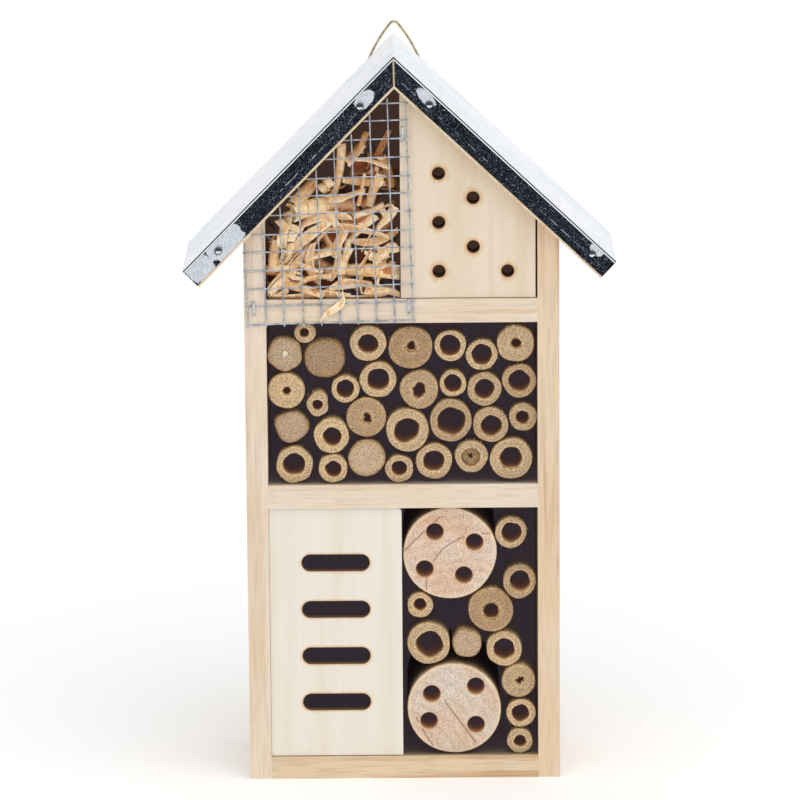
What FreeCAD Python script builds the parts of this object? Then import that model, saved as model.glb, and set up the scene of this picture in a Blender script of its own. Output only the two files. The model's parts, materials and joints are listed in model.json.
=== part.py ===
import FreeCAD, Part
import math
import os

import Sketcher

# Insect hotel: a small house of pine boards with a galvanised roof.
# Frame: millimetres, +Z up, +X to the right, the front faces -Y. The origin is
# the centre of the body's underside.

doc = FreeCAD.newDocument("insect_hotel")

DIMENSIONS = [
    ("body_width", 130, "across the outsides of the side boards"),
    ("body_depth", 64, "front edges of the boards to the back of the back panel"),
    ("side_thick", 9, "side boards"),
    ("floor_thick", 9.5, "floor board"),
    ("shelf_thick", 10, "middle and upper shelf"),
    ("back_thick", 6, "back panel"),
    ("divider_thick", 4, "both dividers"),
    ("lower_room", 107, "clear height of the lower rooms"),
    ("cane_room", 68.5, "clear height of the room between the shelves"),
    ("attic_wall", 25, "upper shelf's top to the outer top edge of a side board"),
    ("roof_pitch", 44.3, "degrees, mean slope of the two roof boards"),
    ("ridge_offset", 2.4, "ridge to the left of the middle"),
    ("roof_overhang", 6, "roof in front of the body"),
    ("left_roof_length", 114.9, "left board's underside, ridge to eave"),
    ("right_roof_length", 115.6, "right board's underside, ridge to eave"),
    ("roof_board_thick", 8.8, "both roof boards"),
    ("sheet_thick", 0.6, "galvanised sheet"),
    ("flange_depth", 8.4, "turned-down edge of the sheet"),
    ("ridge_slit", 1.2, "gap between the two turned-down edges at the ridge"),
    ("room_split", 0.7, "lower divider's right face to the left of the middle"),
    ("attic_split", 0.3, "drilled panel's left edge to the left of the middle"),
    ("panel_recess", 1, "front panels behind the front edges of the boards"),
    ("panel_gap", 0.3, "round the front panels"),
    ("drilled_right_gap", 0.8, "drilled panel to the right side board"),
    ("butterfly_thick", 4, "butterfly panel"),
    ("butterfly_corner", 2, "radius of its top right corner"),
    ("slot_length", 28.4, "slot, over its round ends"),
    ("slot_height", 7.2, "slot"),
    ("slot_pitch", 20, "slot to slot"),
    ("slot_count", 4, "slots"),
    ("drilled_thick", 9, "drilled panel"),
    ("panel_hole", 5.3, "hole in the drilled panel, diameter"),
    ("hole_margin_left", 15.8, "first column of holes to the panel's left edge"),
    ("hole_margin_right", 11.4, "last column of holes to the panel's right edge"),
    ("hole_margin_low", 11.1, "lowest row of holes to the panel's lower edge"),
    ("hole_rise", 10.2, "row to row"),
    ("log_hole", 7.3, "hole in a log, diameter"),
    ("log_hole_depth", 45, "hole in a log"),
    ("cane_recess", 3.5, "canes behind the front edges of the boards"),
    ("log_recess", 2.5, "logs behind the front edges of the boards"),
    ("shavings_left", 0.62, "share of the attic's height filled at the left"),
    ("shavings_right", 0.72, "share of the attic's height filled at the divider"),
    ("shavings_recess", 0.5, "shavings behind the front edges of the boards"),
    ("mesh_columns", 9, "openings from the first upright wire to the last"),
    ("wire_size", 0.75, "mesh wire, diameter"),
    ("mesh_left", 1.8, "first upright wire to the outside of the left board"),
    ("mesh_lap", 4.75, "last upright wire to the right of the middle"),
    ("mesh_drop", 10.4, "lowest wire under the upper shelf's top"),
    ("mesh_tilt", 1.6, "degrees, right end of the mesh up"),
    ("mesh_roof_gap", 0.6, "wire ends to the roof boards"),
    ("wire_sink", 0.1, "upright wires sunk into the level ones by the weld"),
    ("wire_end_left", 1.2, "level wires past the first upright one"),
    ("wire_end_right", 1.7, "level wires past the last upright one"),
    ("staple_height", 6, "crown of a staple"),
    ("staple_width", 1.2, "flat wire of a staple"),
    ("staple_thick", 0.6, "flat wire of a staple"),
    ("staple_bite", 3.5, "staple legs in the wood"),
    ("staple_left", 2.4, "left staple to the first upright wire"),
    ("staple_right", 1.7, "right staples to the last upright wire"),
    ("brad_size", 1.4, "shank, diameter"),
    ("brad_length", 20, "brads"),
    ("brad_front", 13, "brads behind the front edges of the boards"),
    ("brad_rear", 19, "brads in front of the back"),
    ("brad_side", 21, "brads in the back panel to the side boards"),
    ("nail_head", 2.6, "roof nail, diameter"),
    ("nail_head_thick", 0.5, "roof nail"),
    ("nail_length", 14, "roof nail's shank"),
    ("nail_drop", 4.4, "roof nails under the roof's top face"),
    ("nail_ridge", 15, "upper roof nails down the slope from the ridge"),
    ("nail_left_eave", 16.6, "lower roof nail up the slope from the left eave"),
    ("nail_right_eave", 9.6, "lower roof nail up the slope from the right eave"),
    ("nail_fit", 0.05, "round every shank, radial"),
    ("ring_wire", 1, "hanger ring, diameter"),
    ("ring_height", 21, "hanger ring, between wire centres"),
    ("ring_foot", 9, "middle of the ring to the centre of a lower bend"),
    ("ring_bend", 2.5, "lower bends, radius"),
    ("ring_crown", 2, "upper bend, radius"),
    ("ring_bow", 60, "bowed legs, radius"),
    ("ring_fit", 0.08, "ring in its knuckle, radial"),
    ("ring_drop", 3.4, "ring's lower bar under the ridge of the roof's underside"),
    ("strap_width", 8, "hanger strap"),
    ("strap_thick", 0.6, "hanger strap"),
    ("strap_drop", 15, "hanger strap under the knuckle's axis"),
    ("screw_head", 4.2, "strap screw, diameter"),
    ("screw_head_thick", 1.2, "strap screw"),
    ("screw_size", 2, "strap screw's shank, diameter"),
    ("screw_bite", 5, "strap screw in the wood"),
    ("screw_drop", 5, "upper screw under the knuckle's axis"),
    ("screw_pitch", 6, "screw to screw"),
]

sheet = doc.addObject("Spreadsheet::Sheet", "dims")
for line, (alias, number, meaning) in enumerate(DIMENSIONS, 1):
    sheet.set(f"A{line}", str(number))
    sheet.setAlias(f"A{line}", alias)
    sheet.set(f"B{line}", meaning)
doc.recompute()

# Expressions that several pieces share. Each is text that reads the sheet.
HALF_WIDTH = "(dims.body_width / 2)"
INNER_HALF = "(dims.body_width / 2 - dims.side_thick)"
FRONT = "(-dims.body_depth / 2)"
BACK = "(dims.body_depth / 2)"
INSIDE_BACK = "(dims.body_depth / 2 - dims.back_thick)"
INNER_DEPTH = "(dims.body_depth - dims.back_thick)"
FLOOR_TOP = "dims.floor_thick"
MIDDLE_UNDER = f"({FLOOR_TOP} + dims.lower_room)"
MIDDLE_TOP = f"({MIDDLE_UNDER} + dims.shelf_thick)"
UPPER_UNDER = f"({MIDDLE_TOP} + dims.cane_room)"
UPPER_TOP = f"({UPPER_UNDER} + dims.shelf_thick)"
WALL_TOP = f"({UPPER_TOP} + dims.attic_wall)"

RISE = f"({HALF_WIDTH} * tan(dims.roof_pitch))"
APEX = f"({WALL_TOP} + {RISE})"
LEFT_RUN = f"({HALF_WIDTH} - dims.ridge_offset)"
RIGHT_RUN = f"({HALF_WIDTH} + dims.ridge_offset)"
SLOPE_ANGLE = {-1: f"atan({RISE} / {LEFT_RUN})", 1: f"atan({RISE} / {RIGHT_RUN})"}
RIDGE_LEAN = f"tan(({SLOPE_ANGLE[-1]} + {SLOPE_ANGLE[1]}) / 2)"
ROOF_LENGTH = {-1: "dims.left_roof_length", 1: "dims.right_roof_length"}
ROOF_TOP = "(dims.roof_board_thick + dims.sheet_thick)"
ROOF_FRONT = f"({FRONT} - dims.roof_overhang)"
ROOF_BACK = BACK
ROOF_DEPTH = f"({ROOF_BACK} - {ROOF_FRONT})"
ROOF_MIDDLE = f"(({ROOF_BACK} + {ROOF_FRONT}) / 2)"

LEFT, RIGHT = -1, 1
ALONG_Y = FreeCAD.Rotation(FreeCAD.Vector(1, 0, 0), -90)
AGAINST_Y = FreeCAD.Rotation(FreeCAD.Vector(1, 0, 0), 90)
ALONG_X = FreeCAD.Rotation(FreeCAD.Vector(0, 1, 0), 90)
AGAINST_X = FreeCAD.Rotation(FreeCAD.Vector(0, 1, 0), -90)
UPRIGHT = FreeCAD.Rotation()

nodes = []


def value(expression):
    """The number that an expression has now."""
    result = sheet.evalExpression(str(expression))
    return float(getattr(result, "Value", result))


def finished(piece, label):
    """Name a sub-part and put it on the list of files to write."""
    piece.Label = label
    nodes.append(piece)
    return piece


def place(piece, x, y, z, turn=UPRIGHT):
    """Turn a piece and bind its place to the sheet."""
    piece.Placement = FreeCAD.Placement(FreeCAD.Vector(), turn)
    piece.setExpression(".Placement.Base.x", str(x))
    piece.setExpression(".Placement.Base.y", str(y))
    piece.setExpression(".Placement.Base.z", str(z))
    return piece


def under_left(x):
    """Height of the left roof board's underside over x."""
    return f"({WALL_TOP} + ({x} + {HALF_WIDTH}) * {RISE} / {LEFT_RUN})"


def under_right(x):
    """Height of the right roof board's underside over x."""
    return f"({WALL_TOP} + ({HALF_WIDTH} - {x}) * {RISE} / {RIGHT_RUN})"


def slope_point(side, down, out):
    """A point `down` a roof slope from the inner ridge and `out` from its underside."""
    angle = SLOPE_ANGLE[side]
    x = f"-dims.ridge_offset + ({side}) * (({down}) * cos({angle}) + ({out}) * sin({angle}))"
    z = f"{APEX} - ({down}) * sin({angle}) + ({out}) * cos({angle})"
    return x, z


def ridge_point(out):
    """The point where both slopes meet, `out` from the undersides."""
    return slope_point(LEFT, f"-({out}) * {RIDGE_LEAN}", out)


# ---- sketches, pads and pockets ---------------------------------------------

def origin_plane(body, role):
    return [feature for feature in body.Origin.OriginFeatures if feature.Role == role][0]


def new_sketch(body, name):
    """A sketch on the body's own upright plane, x across and y up."""
    sketch = body.newObject("Sketcher::SketchObject", name)
    sketch.AttachmentSupport = [(origin_plane(body, "XZ_Plane"), "")]
    sketch.MapMode = "FlatFace"
    return sketch


def bind(sketch, name, constraint, expression):
    """Add a constraint of one size and tie it to an expression."""
    number = sketch.addConstraint(constraint)
    sketch.renameConstraint(number, name)
    sketch.setExpression(f"Constraints.{name}", str(expression))


def draw_outline(sketch, corners):
    """A closed outline of straight edges whose corners are pairs of expressions."""
    points = [FreeCAD.Vector(value(x), value(z), 0) for x, z in corners]
    count = len(points)
    for number in range(count):
        edge = Part.LineSegment(points[number], points[(number + 1) % count])
        sketch.addGeometry(edge, False)
    for number in range(count):
        joint = Sketcher.Constraint("Coincident", number, 2, (number + 1) % count, 1)
        sketch.addConstraint(joint)
    for number, (x, z) in enumerate(corners):
        across = Sketcher.Constraint("DistanceX", -1, 1, number, 1, points[number].x)
        up = Sketcher.Constraint("DistanceY", -1, 1, number, 1, points[number].y)
        bind(sketch, f"across{number}", across, x)
        bind(sketch, f"up{number}", up, z)


def draw_circles(sketch, centres, diameter):
    """Round holes, each with its centre as a pair of expressions."""
    radius = f"({diameter}) / 2"
    for number, (x, z) in enumerate(centres):
        centre = FreeCAD.Vector(value(x), value(z), 0)
        circle = Part.Circle(centre, FreeCAD.Vector(0, 0, 1), value(radius))
        sketch.addGeometry(circle, False)
        across = Sketcher.Constraint("DistanceX", -1, 1, number, 3, centre.x)
        up = Sketcher.Constraint("DistanceY", -1, 1, number, 3, centre.y)
        round_size = Sketcher.Constraint("Radius", number, value(radius))
        bind(sketch, f"across{number}", across, x)
        bind(sketch, f"up{number}", up, z)
        bind(sketch, f"radius{number}", round_size, radius)


def draw_slot(sketch, x, z, length, height):
    """One level slot with round ends about the point x, z."""
    reach = f"(({length}) - ({height})) / 2"
    radius = f"({height}) / 2"
    run, half = value(reach), value(radius)
    middle_x, middle_z = value(x), value(z)

    def point(across, up):
        return FreeCAD.Vector(middle_x + across, middle_z + up, 0)

    upward = FreeCAD.Vector(0, 0, 1)
    right_end = Part.Circle(point(run, 0), upward, half)
    left_end = Part.Circle(point(-run, 0), upward, half)
    quarter = math.pi / 2
    sketch.addGeometry(Part.LineSegment(point(-run, half), point(run, half)), False)
    sketch.addGeometry(Part.ArcOfCircle(right_end, -quarter, quarter), False)
    sketch.addGeometry(Part.LineSegment(point(run, -half), point(-run, -half)), False)
    sketch.addGeometry(Part.ArcOfCircle(left_end, quarter, 3 * quarter), False)
    for line_and_arc_ends in ((0, 2, 1, 2), (2, 1, 1, 1), (2, 2, 3, 2), (0, 1, 3, 1)):
        sketch.addConstraint(Sketcher.Constraint("Tangent", *line_and_arc_ends))
    sketch.addConstraint(Sketcher.Constraint("Horizontal", 0))
    sketch.addConstraint(Sketcher.Constraint("Horizontal", 2))
    bind(sketch, "radius", Sketcher.Constraint("Radius", 1, half), radius)
    right_x = Sketcher.Constraint("DistanceX", -1, 1, 1, 3, middle_x + run)
    left_x = Sketcher.Constraint("DistanceX", -1, 1, 3, 3, middle_x - run)
    right_z = Sketcher.Constraint("DistanceY", -1, 1, 1, 3, middle_z)
    bind(sketch, "right_end", right_x, f"{x} + {reach}")
    bind(sketch, "left_end", left_x, f"{x} - {reach}")
    bind(sketch, "level", right_z, z)


def board(name, corners, depth, middle):
    """A flat piece: an upright outline padded `depth` along Y about y = `middle`."""
    body = doc.addObject("PartDesign::Body", name)
    sketch = new_sketch(body, f"{name}_outline")
    draw_outline(sketch, corners)
    pad = body.newObject("PartDesign::Pad", f"{name}_pad")
    pad.Profile = sketch
    pad.SideType = "Symmetric"
    pad.setExpression("Length", depth)
    sketch.Visibility = False
    body.setExpression(".Placement.Base.y", str(middle))
    doc.recompute()
    return body


def cut_through(body, sketch, name):
    """Pocket a sketch through the whole piece, and make sure that it cuts."""
    before = body.Shape.Volume
    pocket = body.newObject("PartDesign::Pocket", name)
    pocket.Profile = sketch
    pocket.Type = "ThroughAll"
    pocket.SideType = "Symmetric"
    doc.recompute()
    if body.Shape.Volume >= before:
        raise RuntimeError(f"{name} cuts nothing")
    return pocket


def rod(name, radius, length, x, y, z, turn):
    """A round bar from the point x, y, z."""
    bar = doc.addObject("Part::Cylinder", name)
    bar.setExpression("Radius", str(radius))
    bar.setExpression("Height", str(length))
    return place(bar, x, y, z, turn)


def group(name, members):
    """Separate solids under one name."""
    compound = doc.addObject("Part::Compound", name)
    compound.Links = members
    return compound


def box_corners(left, right, low, high):
    """Corners of an upright rectangle, in order."""
    return [(left, low), (right, low), (right, high), (left, high)]


# ---- fasteners, made first because the boards are drilled for them ----------

BRAD_LEVELS = [f"{FLOOR_TOP} / 2", f"{MIDDLE_UNDER} + dims.shelf_thick / 2",
               f"{UPPER_UNDER} + dims.shelf_thick / 2"]
BRAD_DEPTHS = [f"{FRONT} + dims.brad_front", f"{BACK} - dims.brad_rear"]


def side_brad_spots():
    """Brads through the side boards into the ends of the floor and the shelves."""
    spots = []
    for level in BRAD_LEVELS:
        for depth in BRAD_DEPTHS:
            spots.append((f"-{HALF_WIDTH}", depth, level, ALONG_X))
            spots.append((HALF_WIDTH, depth, level, AGAINST_X))
    return spots


def back_brad_spots():
    """Brads through the back panel into the back edges of the floor and the shelves."""
    spots = []
    for level in BRAD_LEVELS:
        for side in (LEFT, RIGHT):
            x = f"({side}) * ({INNER_HALF} - dims.brad_side)"
            spots.append((x, BACK, level, AGAINST_Y))
    return spots


def roof_brad_spots():
    """Brads under the sheet, through the roof boards into the tops of the side boards."""
    spots = []
    for side, run in ((LEFT, LEFT_RUN), (RIGHT, RIGHT_RUN)):
        angle = SLOPE_ANGLE[side]
        down = f"({run} - dims.side_thick / 2) / cos({angle})"
        x, z = slope_point(side, down, "dims.roof_board_thick")
        lean = 180 + side * value(angle)
        turn = FreeCAD.Rotation(FreeCAD.Vector(0, 1, 0), lean)
        for depth in BRAD_DEPTHS:
            spots.append((x, depth, z, turn))
    return spots


def frame_brads(name, radius):
    """All brads, as shanks of one radius."""
    spots = side_brad_spots() + back_brad_spots() + roof_brad_spots()
    brads = []
    for number, (x, y, z, turn) in enumerate(spots, 1):
        brads.append(rod(f"{name}_{number}", radius, "dims.brad_length", x, y, z, turn))
    return brads


def roof_nail_spots():
    """Nails in the turned-down edges: their distances down each slope."""
    out = f"{ROOF_TOP} - dims.nail_drop"
    near_eave = {LEFT: "dims.nail_left_eave", RIGHT: "dims.nail_right_eave"}
    spots = []
    for side in (LEFT, RIGHT):
        spots.append(slope_point(side, "dims.nail_ridge", out))
        spots.append(slope_point(side, f"{ROOF_LENGTH[side]} - {near_eave[side]}", out))
    return spots


def roof_nail_shanks(name, radius):
    """Shanks of the roof nails, from the faces of the sheet into the boards."""
    shanks = []
    size = (radius, "dims.nail_length")
    for number, (x, z) in enumerate(roof_nail_spots(), 1):
        shanks.append(rod(f"{name}_front_{number}", *size, x, ROOF_FRONT, z, ALONG_Y))
        shanks.append(rod(f"{name}_back_{number}", *size, x, ROOF_BACK, z, AGAINST_Y))
    return shanks


def roof_nails():
    """Nails with flat round heads."""
    heads = []
    for number, (x, z) in enumerate(roof_nail_spots(), 1):
        size = ("dims.nail_head / 2", "dims.nail_head_thick")
        heads.append(rod(f"nail_head_front_{number}", *size, x, ROOF_FRONT, z, AGAINST_Y))
        heads.append(rod(f"nail_head_back_{number}", *size, x, ROOF_BACK, z, ALONG_Y))
    shanks = roof_nail_shanks("nail_shank", "dims.brad_size / 2")
    nails = []
    for number, (head, shank) in enumerate(zip(heads, shanks), 1):
        nail = doc.addObject("Part::Fuse", f"nail_{number}")
        nail.Base = head
        nail.Tool = shank
        nails.append(nail)
    return group("nails", nails)


# The mesh has a frame of its own: its origin is the lowest wire's crossing with
# the first upright wire, and it is turned by mesh_tilt about Y.
MESH_X = f"(-{HALF_WIDTH} + dims.mesh_left)"
MESH_Z = f"({UPPER_TOP} - dims.mesh_drop)"
MESH_TURN = FreeCAD.Rotation(FreeCAD.Vector(0, 1, 0), -value("dims.mesh_tilt"))
MESH_WIDTH = f"(dims.mesh_lap - {MESH_X})"
MESH_PITCH = f"({MESH_WIDTH} / dims.mesh_columns)"
MESH_COLUMNS = int(value("dims.mesh_columns"))
MESH_ROWS = int(value(f"{APEX} - {MESH_Z}") // value(MESH_PITCH))
# A level wire needs half an opening under the ridge, to meet an upright one.
LEVEL_ROWS = int(value(f"{APEX} - {MESH_Z} - {MESH_PITCH} / 2") // value(MESH_PITCH))
STAPLE_OUT = "(dims.wire_size + dims.staple_thick)"
# Each staple: its distance along the mesh, the level wire that it holds, and how
# far its middle is above that wire.
LAST_GAP = f"({MESH_WIDTH} - dims.staple_right)"
STAPLES = {"staple_low_left": ("dims.staple_left", 1, -0.6),
           "staple_low_right": (LAST_GAP, 1, -2),
           "staple_high_right": (LAST_GAP, MESH_ROWS - 3, 2)}


def staple(name, along, row, shift):
    """A flat U over a level wire; `along` and `shift` are in the mesh's own frame."""
    crown = doc.addObject("Part::Box", f"{name}_crown")
    crown.setExpression("Length", "dims.staple_width")
    crown.setExpression("Width", f"{STAPLE_OUT} + dims.staple_bite")
    crown.setExpression("Height", "dims.staple_height")
    throat = doc.addObject("Part::Box", f"{name}_throat")
    throat.setExpression("Length", "dims.staple_width")
    throat.setExpression("Width", f"{STAPLE_OUT} + dims.staple_bite")
    throat.setExpression("Height", "dims.staple_height - 2 * dims.staple_thick")
    throat.setExpression(".Placement.Base.y", "dims.staple_thick")
    throat.setExpression(".Placement.Base.z", "dims.staple_thick")
    bent = doc.addObject("Part::Cut", name)
    bent.Base = crown
    bent.Tool = throat
    tilt = "dims.mesh_tilt"
    up = f"({row} * {MESH_PITCH} + {shift} - dims.staple_height / 2)"
    x = f"{MESH_X} + ({along} - dims.staple_width / 2) * cos({tilt}) - {up} * sin({tilt})"
    z = f"{MESH_Z} + ({along} - dims.staple_width / 2) * sin({tilt}) + {up} * cos({tilt})"
    return place(bent, x, f"{FRONT} - {STAPLE_OUT}", z, MESH_TURN)


def mesh_staples():
    """Two staples at the shelf and one high on the drilled panel."""
    return group("staples", [staple(name, *spot) for name, spot in STAPLES.items()])


# Strap and ring: the knuckle's axis lies on the back of the house.
KNUCKLE_RADIUS = "(dims.ring_wire / 2 + dims.ring_fit + dims.strap_thick)"
RING_Y = f"({BACK} + {KNUCKLE_RADIUS})"
RING_Z = f"({APEX} - dims.ring_drop)"


def screw_spots():
    """Heights of the two strap screws."""
    upper = f"{RING_Z} - dims.screw_drop"
    return [upper, f"{upper} - dims.screw_pitch"]


def screw_shanks(name, radius):
    """Shanks through the strap into the back panel."""
    shanks = []
    start = f"{BACK} + dims.strap_thick"
    length = "dims.strap_thick + dims.screw_bite"
    for number, z in enumerate(screw_spots(), 1):
        bar_name = f"{name}_{number}"
        shanks.append(rod(bar_name, radius, length, "-dims.ridge_offset", start, z, AGAINST_Y))
    return shanks


def hanger_screws():
    """Flat-headed screws: head and shank in one."""
    screws = []
    shanks = screw_shanks("screw_shank", "dims.screw_size / 2")
    for number, (z, shank) in enumerate(zip(screw_spots(), shanks), 1):
        start = f"{BACK} + dims.strap_thick"
        head = rod(f"screw_head_{number}", "dims.screw_head / 2", "dims.screw_head_thick",
                   "-dims.ridge_offset", start, z, ALONG_Y)
        screw = doc.addObject("Part::Fuse", f"screw_{number}")
        screw.Base = head
        screw.Tool = shank
        screws.append(screw)
    return group("screws", screws)


brad_group = group("brads", frame_brads("brad", "dims.brad_size / 2"))
nail_group = roof_nails()
staple_group = mesh_staples()
screw_group = hanger_screws()
drill_bits = frame_brads("brad_hole", "dims.brad_size / 2 + dims.nail_fit")
drill_bits += roof_nail_shanks("nail_hole", "dims.brad_size / 2 + dims.nail_fit")
drill_bits += screw_shanks("screw_hole", "dims.screw_size / 2 + dims.nail_fit")
drill_bits += staple_group.Links
drilling = group("drilling", drill_bits)
doc.recompute()


def drilled(label, piece):
    """The piece with the holes of every fastener that passes through it."""
    cut = doc.addObject("Part::Cut", f"{label}_drilled")
    cut.Base = piece
    cut.Tool = drilling
    return finished(cut, label)


# ---- frame -------------------------------------------------------------------

def left_side_board():
    """Pine board with its top bevelled to the roof."""
    corners = [(f"-{HALF_WIDTH}", 0), (f"-{INNER_HALF}", 0),
               (f"-{INNER_HALF}", under_left(f"-{INNER_HALF}")), (f"-{HALF_WIDTH}", WALL_TOP)]
    drilled("left_side_board", board("left_side", corners, "dims.body_depth", 0))


def right_side_board():
    corners = [(INNER_HALF, 0), (HALF_WIDTH, 0),
               (HALF_WIDTH, WALL_TOP), (INNER_HALF, under_right(INNER_HALF))]
    drilled("right_side_board", board("right_side", corners, "dims.body_depth", 0))


def level_boards():
    """Floor and shelves, between the side boards and in front of the back panel."""
    levels = (("floor_board", 0, FLOOR_TOP), ("middle_shelf", MIDDLE_UNDER, MIDDLE_TOP),
              ("upper_shelf", UPPER_UNDER, UPPER_TOP))
    for label, low, high in levels:
        corners = box_corners(f"-{INNER_HALF}", INNER_HALF, low, high)
        drilled(label, board(f"{label}_body", corners, INNER_DEPTH, "-dims.back_thick / 2"))


def back_panel():
    """Pentagon between the side boards, under the roof boards."""
    corners = [(f"-{INNER_HALF}", 0), (INNER_HALF, 0), (INNER_HALF, under_right(INNER_HALF)),
               ridge_point(0), (f"-{INNER_HALF}", under_left(f"-{INNER_HALF}"))]
    middle = f"{BACK} - dims.back_thick / 2"
    drilled("back_panel", board("back", corners, "dims.back_thick", middle))


def divider(label, left, right, low, tops, front):
    """Upright board from behind a front panel to the back panel."""
    corners = [(left, low), (right, low), (right, tops[1]), (left, tops[0])]
    depth = f"{INSIDE_BACK} - ({front})"
    middle = f"({INSIDE_BACK} + ({front})) / 2"
    drilled(label, board(f"{label}_body", corners, depth, middle))


def dividers():
    right = "-dims.room_split"
    left = f"{right} - dims.divider_thick"
    front = f"{FRONT} + dims.panel_recess + dims.butterfly_thick"
    divider("lower_divider", left, right, FLOOR_TOP, (MIDDLE_UNDER, MIDDLE_UNDER), front)
    left = "-dims.attic_split"
    right = f"{left} + dims.divider_thick"
    tops = (under_right(f"({left})"), under_right(f"({right})"))
    front = f"{FRONT} + dims.panel_recess + dims.drilled_thick"
    divider("attic_divider", left, right, UPPER_TOP, tops, front)


# ---- front panels --------------------------------------------------------------

def butterfly_panel():
    """Thin board with a ladder of slots and one rounded corner."""
    left = f"(-{INNER_HALF} + dims.panel_gap / 3)"
    right = "(-dims.room_split)"
    low = f"({FLOOR_TOP} + dims.panel_gap)"
    high = f"({MIDDLE_UNDER} - dims.panel_gap / 2)"
    middle = f"{FRONT} + dims.panel_recess + dims.butterfly_thick / 2"
    body = board("butterfly", box_corners(left, right, low, high), "dims.butterfly_thick", middle)
    pad = body.Tip
    for number, edge in enumerate(pad.Shape.Edges, 1):
        centre = edge.BoundBox.Center
        if abs(centre.x - value(right)) < 0.01 and abs(centre.z - value(high)) < 0.01:
            corner = body.newObject("PartDesign::Fillet", "butterfly_corner")
            corner.Base = (pad, [f"Edge{number}"])
            corner.setExpression("Radius", "dims.butterfly_corner")
    doc.recompute()
    sketch = new_sketch(body, "slot_outline")
    lowest = f"(({low} + {high}) / 2 - (dims.slot_count - 1) * dims.slot_pitch / 2)"
    draw_slot(sketch, f"(({left} + {right}) / 2)", lowest, "dims.slot_length", "dims.slot_height")
    slot = cut_through(body, sketch, "slot")
    ladder = body.newObject("PartDesign::LinearPattern", "slot_ladder")
    ladder.Originals = [slot]
    ladder.Direction = (sketch, ["V_Axis"])
    ladder.setExpression("Length", "(dims.slot_count - 1) * dims.slot_pitch")
    ladder.setExpression("Occurrences", "dims.slot_count")
    body.Tip = ladder
    sketch.Visibility = False
    finished(body, "butterfly_panel")


def drilled_panel():
    """Thick board in the right half of the attic with six bored holes."""
    left = "(-dims.attic_split)"
    right = f"({INNER_HALF} - dims.drilled_right_gap)"
    low = f"({UPPER_TOP} + dims.panel_gap)"
    corners = [(left, low), (right, low), (right, f"{under_right(right)} - dims.panel_gap"),
               (left, f"{under_right(left)} - dims.panel_gap")]
    middle = f"{FRONT} + dims.panel_recess + dims.drilled_thick / 2"
    body = board("drilled", corners, "dims.drilled_thick", middle)
    spread = f"(({right} - {left} - dims.hole_margin_left - dims.hole_margin_right) / 2)"
    centres = []
    for column, row in ((0, 0), (0, 2), (0, 4), (1, 1), (1, 3), (2, 0)):
        x = f"{left} + dims.hole_margin_left + {column} * {spread}"
        z = f"{low} + dims.hole_margin_low + {row} * dims.hole_rise"
        centres.append((x, z))
    sketch = new_sketch(body, "bored_holes")
    draw_circles(sketch, centres, "dims.panel_hole")
    cut_through(body, sketch, "bores")
    sketch.Visibility = False
    drilled("drilled_panel", body)


# ---- filling ---------------------------------------------------------------------

# Each stack was laid up for a room of one size: across and up from the room's
# lower left corner, outer diameter and bore, all in millimetres. It spreads with
# its room, and every piece keeps its seat on the back panel.
CANE_STACK_SIZE = (112, 68.5)
CANE_STACK = [
    (7.5, 55, 15, 0), (16, 64, 9, 4), (24, 53, 18, 0), (42, 59.5, 15.5, 8.3),
    (59.5, 57.5, 18.5, 4.4), (76, 58, 13.5, 9), (89, 54, 13.5, 8.9), (103, 59, 16, 4.1),
    (8, 39.5, 15.5, 3.2), (21, 34, 11, 4.4), (32.5, 40, 12, 7.7), (46, 44, 15.5, 9.6),
    (63, 39.5, 16.5, 6.6), (77, 42, 11.5, 7.7), (90, 39.5, 14.5, 8.4), (104.5, 43, 14.5, 9.1),
    (10, 24, 15.5, 0), (26.5, 20.5, 15, 8), (41, 28, 17, 4.6), (58, 22.5, 18.5, 11.1),
    (76, 26.5, 18, 12.2), (92.5, 24.5, 15, 8.9), (106, 27.5, 12, 5.6), (11, 8, 16, 9.5),
    (27, 6.5, 12.5, 7), (41, 10.5, 16, 0), (54.5, 6, 12, 6.6), (69, 9, 15.5, 9),
    (84.5, 11, 14, 7.8), (101, 10, 18, 9.4),
]
SIDE_STACK_SIZE = (56.7, 107)
SIDE_STACK = [
    (45.5, 95.5, 13.5, 8.6), (49, 74.5, 14, 8.6), (37, 62.5, 19, 6.6), (7.5, 64.5, 11, 5.4),
    (11, 48, 18.5, 11.5), (27, 48, 13, 0), (42.5, 45.5, 15.5, 9.1), (48.5, 31.5, 14.5, 3.9),
    (49.5, 17.5, 12.5, 7.6), (49, 5.5, 11, 5.3),
]
LOG_STACK = {"drilled_log_upper": (20, 87, 39.5), "drilled_log_lower": (21.5, 20, 39.5)}
LOG_HOLES = {"drilled_log_upper": ((-6.2, 9.1), (10.3, 4.6), (-10.5, -6.8), (5.8, -9.5)),
             "drilled_log_lower": ((-9.4, 6.3), (9.1, 9.5), (-10.6, -5.4), (9.1, -7.2))}


def stack_rules(size, width, height):
    """How a stack spreads across, spreads up and grows with its room."""
    across = f"(({width}) / {size[0]})"
    up = f"(({height}) / {size[1]})"
    return across, up, f"min({across}; {up})"


CANE_RULES = stack_rules(CANE_STACK_SIZE, f"2 * {INNER_HALF}", "dims.cane_room")
SIDE_RULES = stack_rules(SIDE_STACK_SIZE, f"{INNER_HALF} + dims.room_split", "dims.lower_room")
CANE_CORNER = (f"-{INNER_HALF}", MIDDLE_TOP)
SIDE_CORNER = ("-dims.room_split", FLOOR_TOP)


def stack_spot(corner, rules, across, up):
    """Where a stacked piece's axis is."""
    return f"{corner[0]} + {across} * {rules[0]}", f"{corner[1]} + {up} * {rules[1]}"


def stem(name, diameter, recess, x, z, growth):
    """A round stem from the front to the back panel."""
    front = f"({FRONT} + {recess})"
    length = f"{INSIDE_BACK} - {front}"
    return rod(name, f"{diameter} / 2 * {growth}", length, x, front, z, ALONG_Y)


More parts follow.
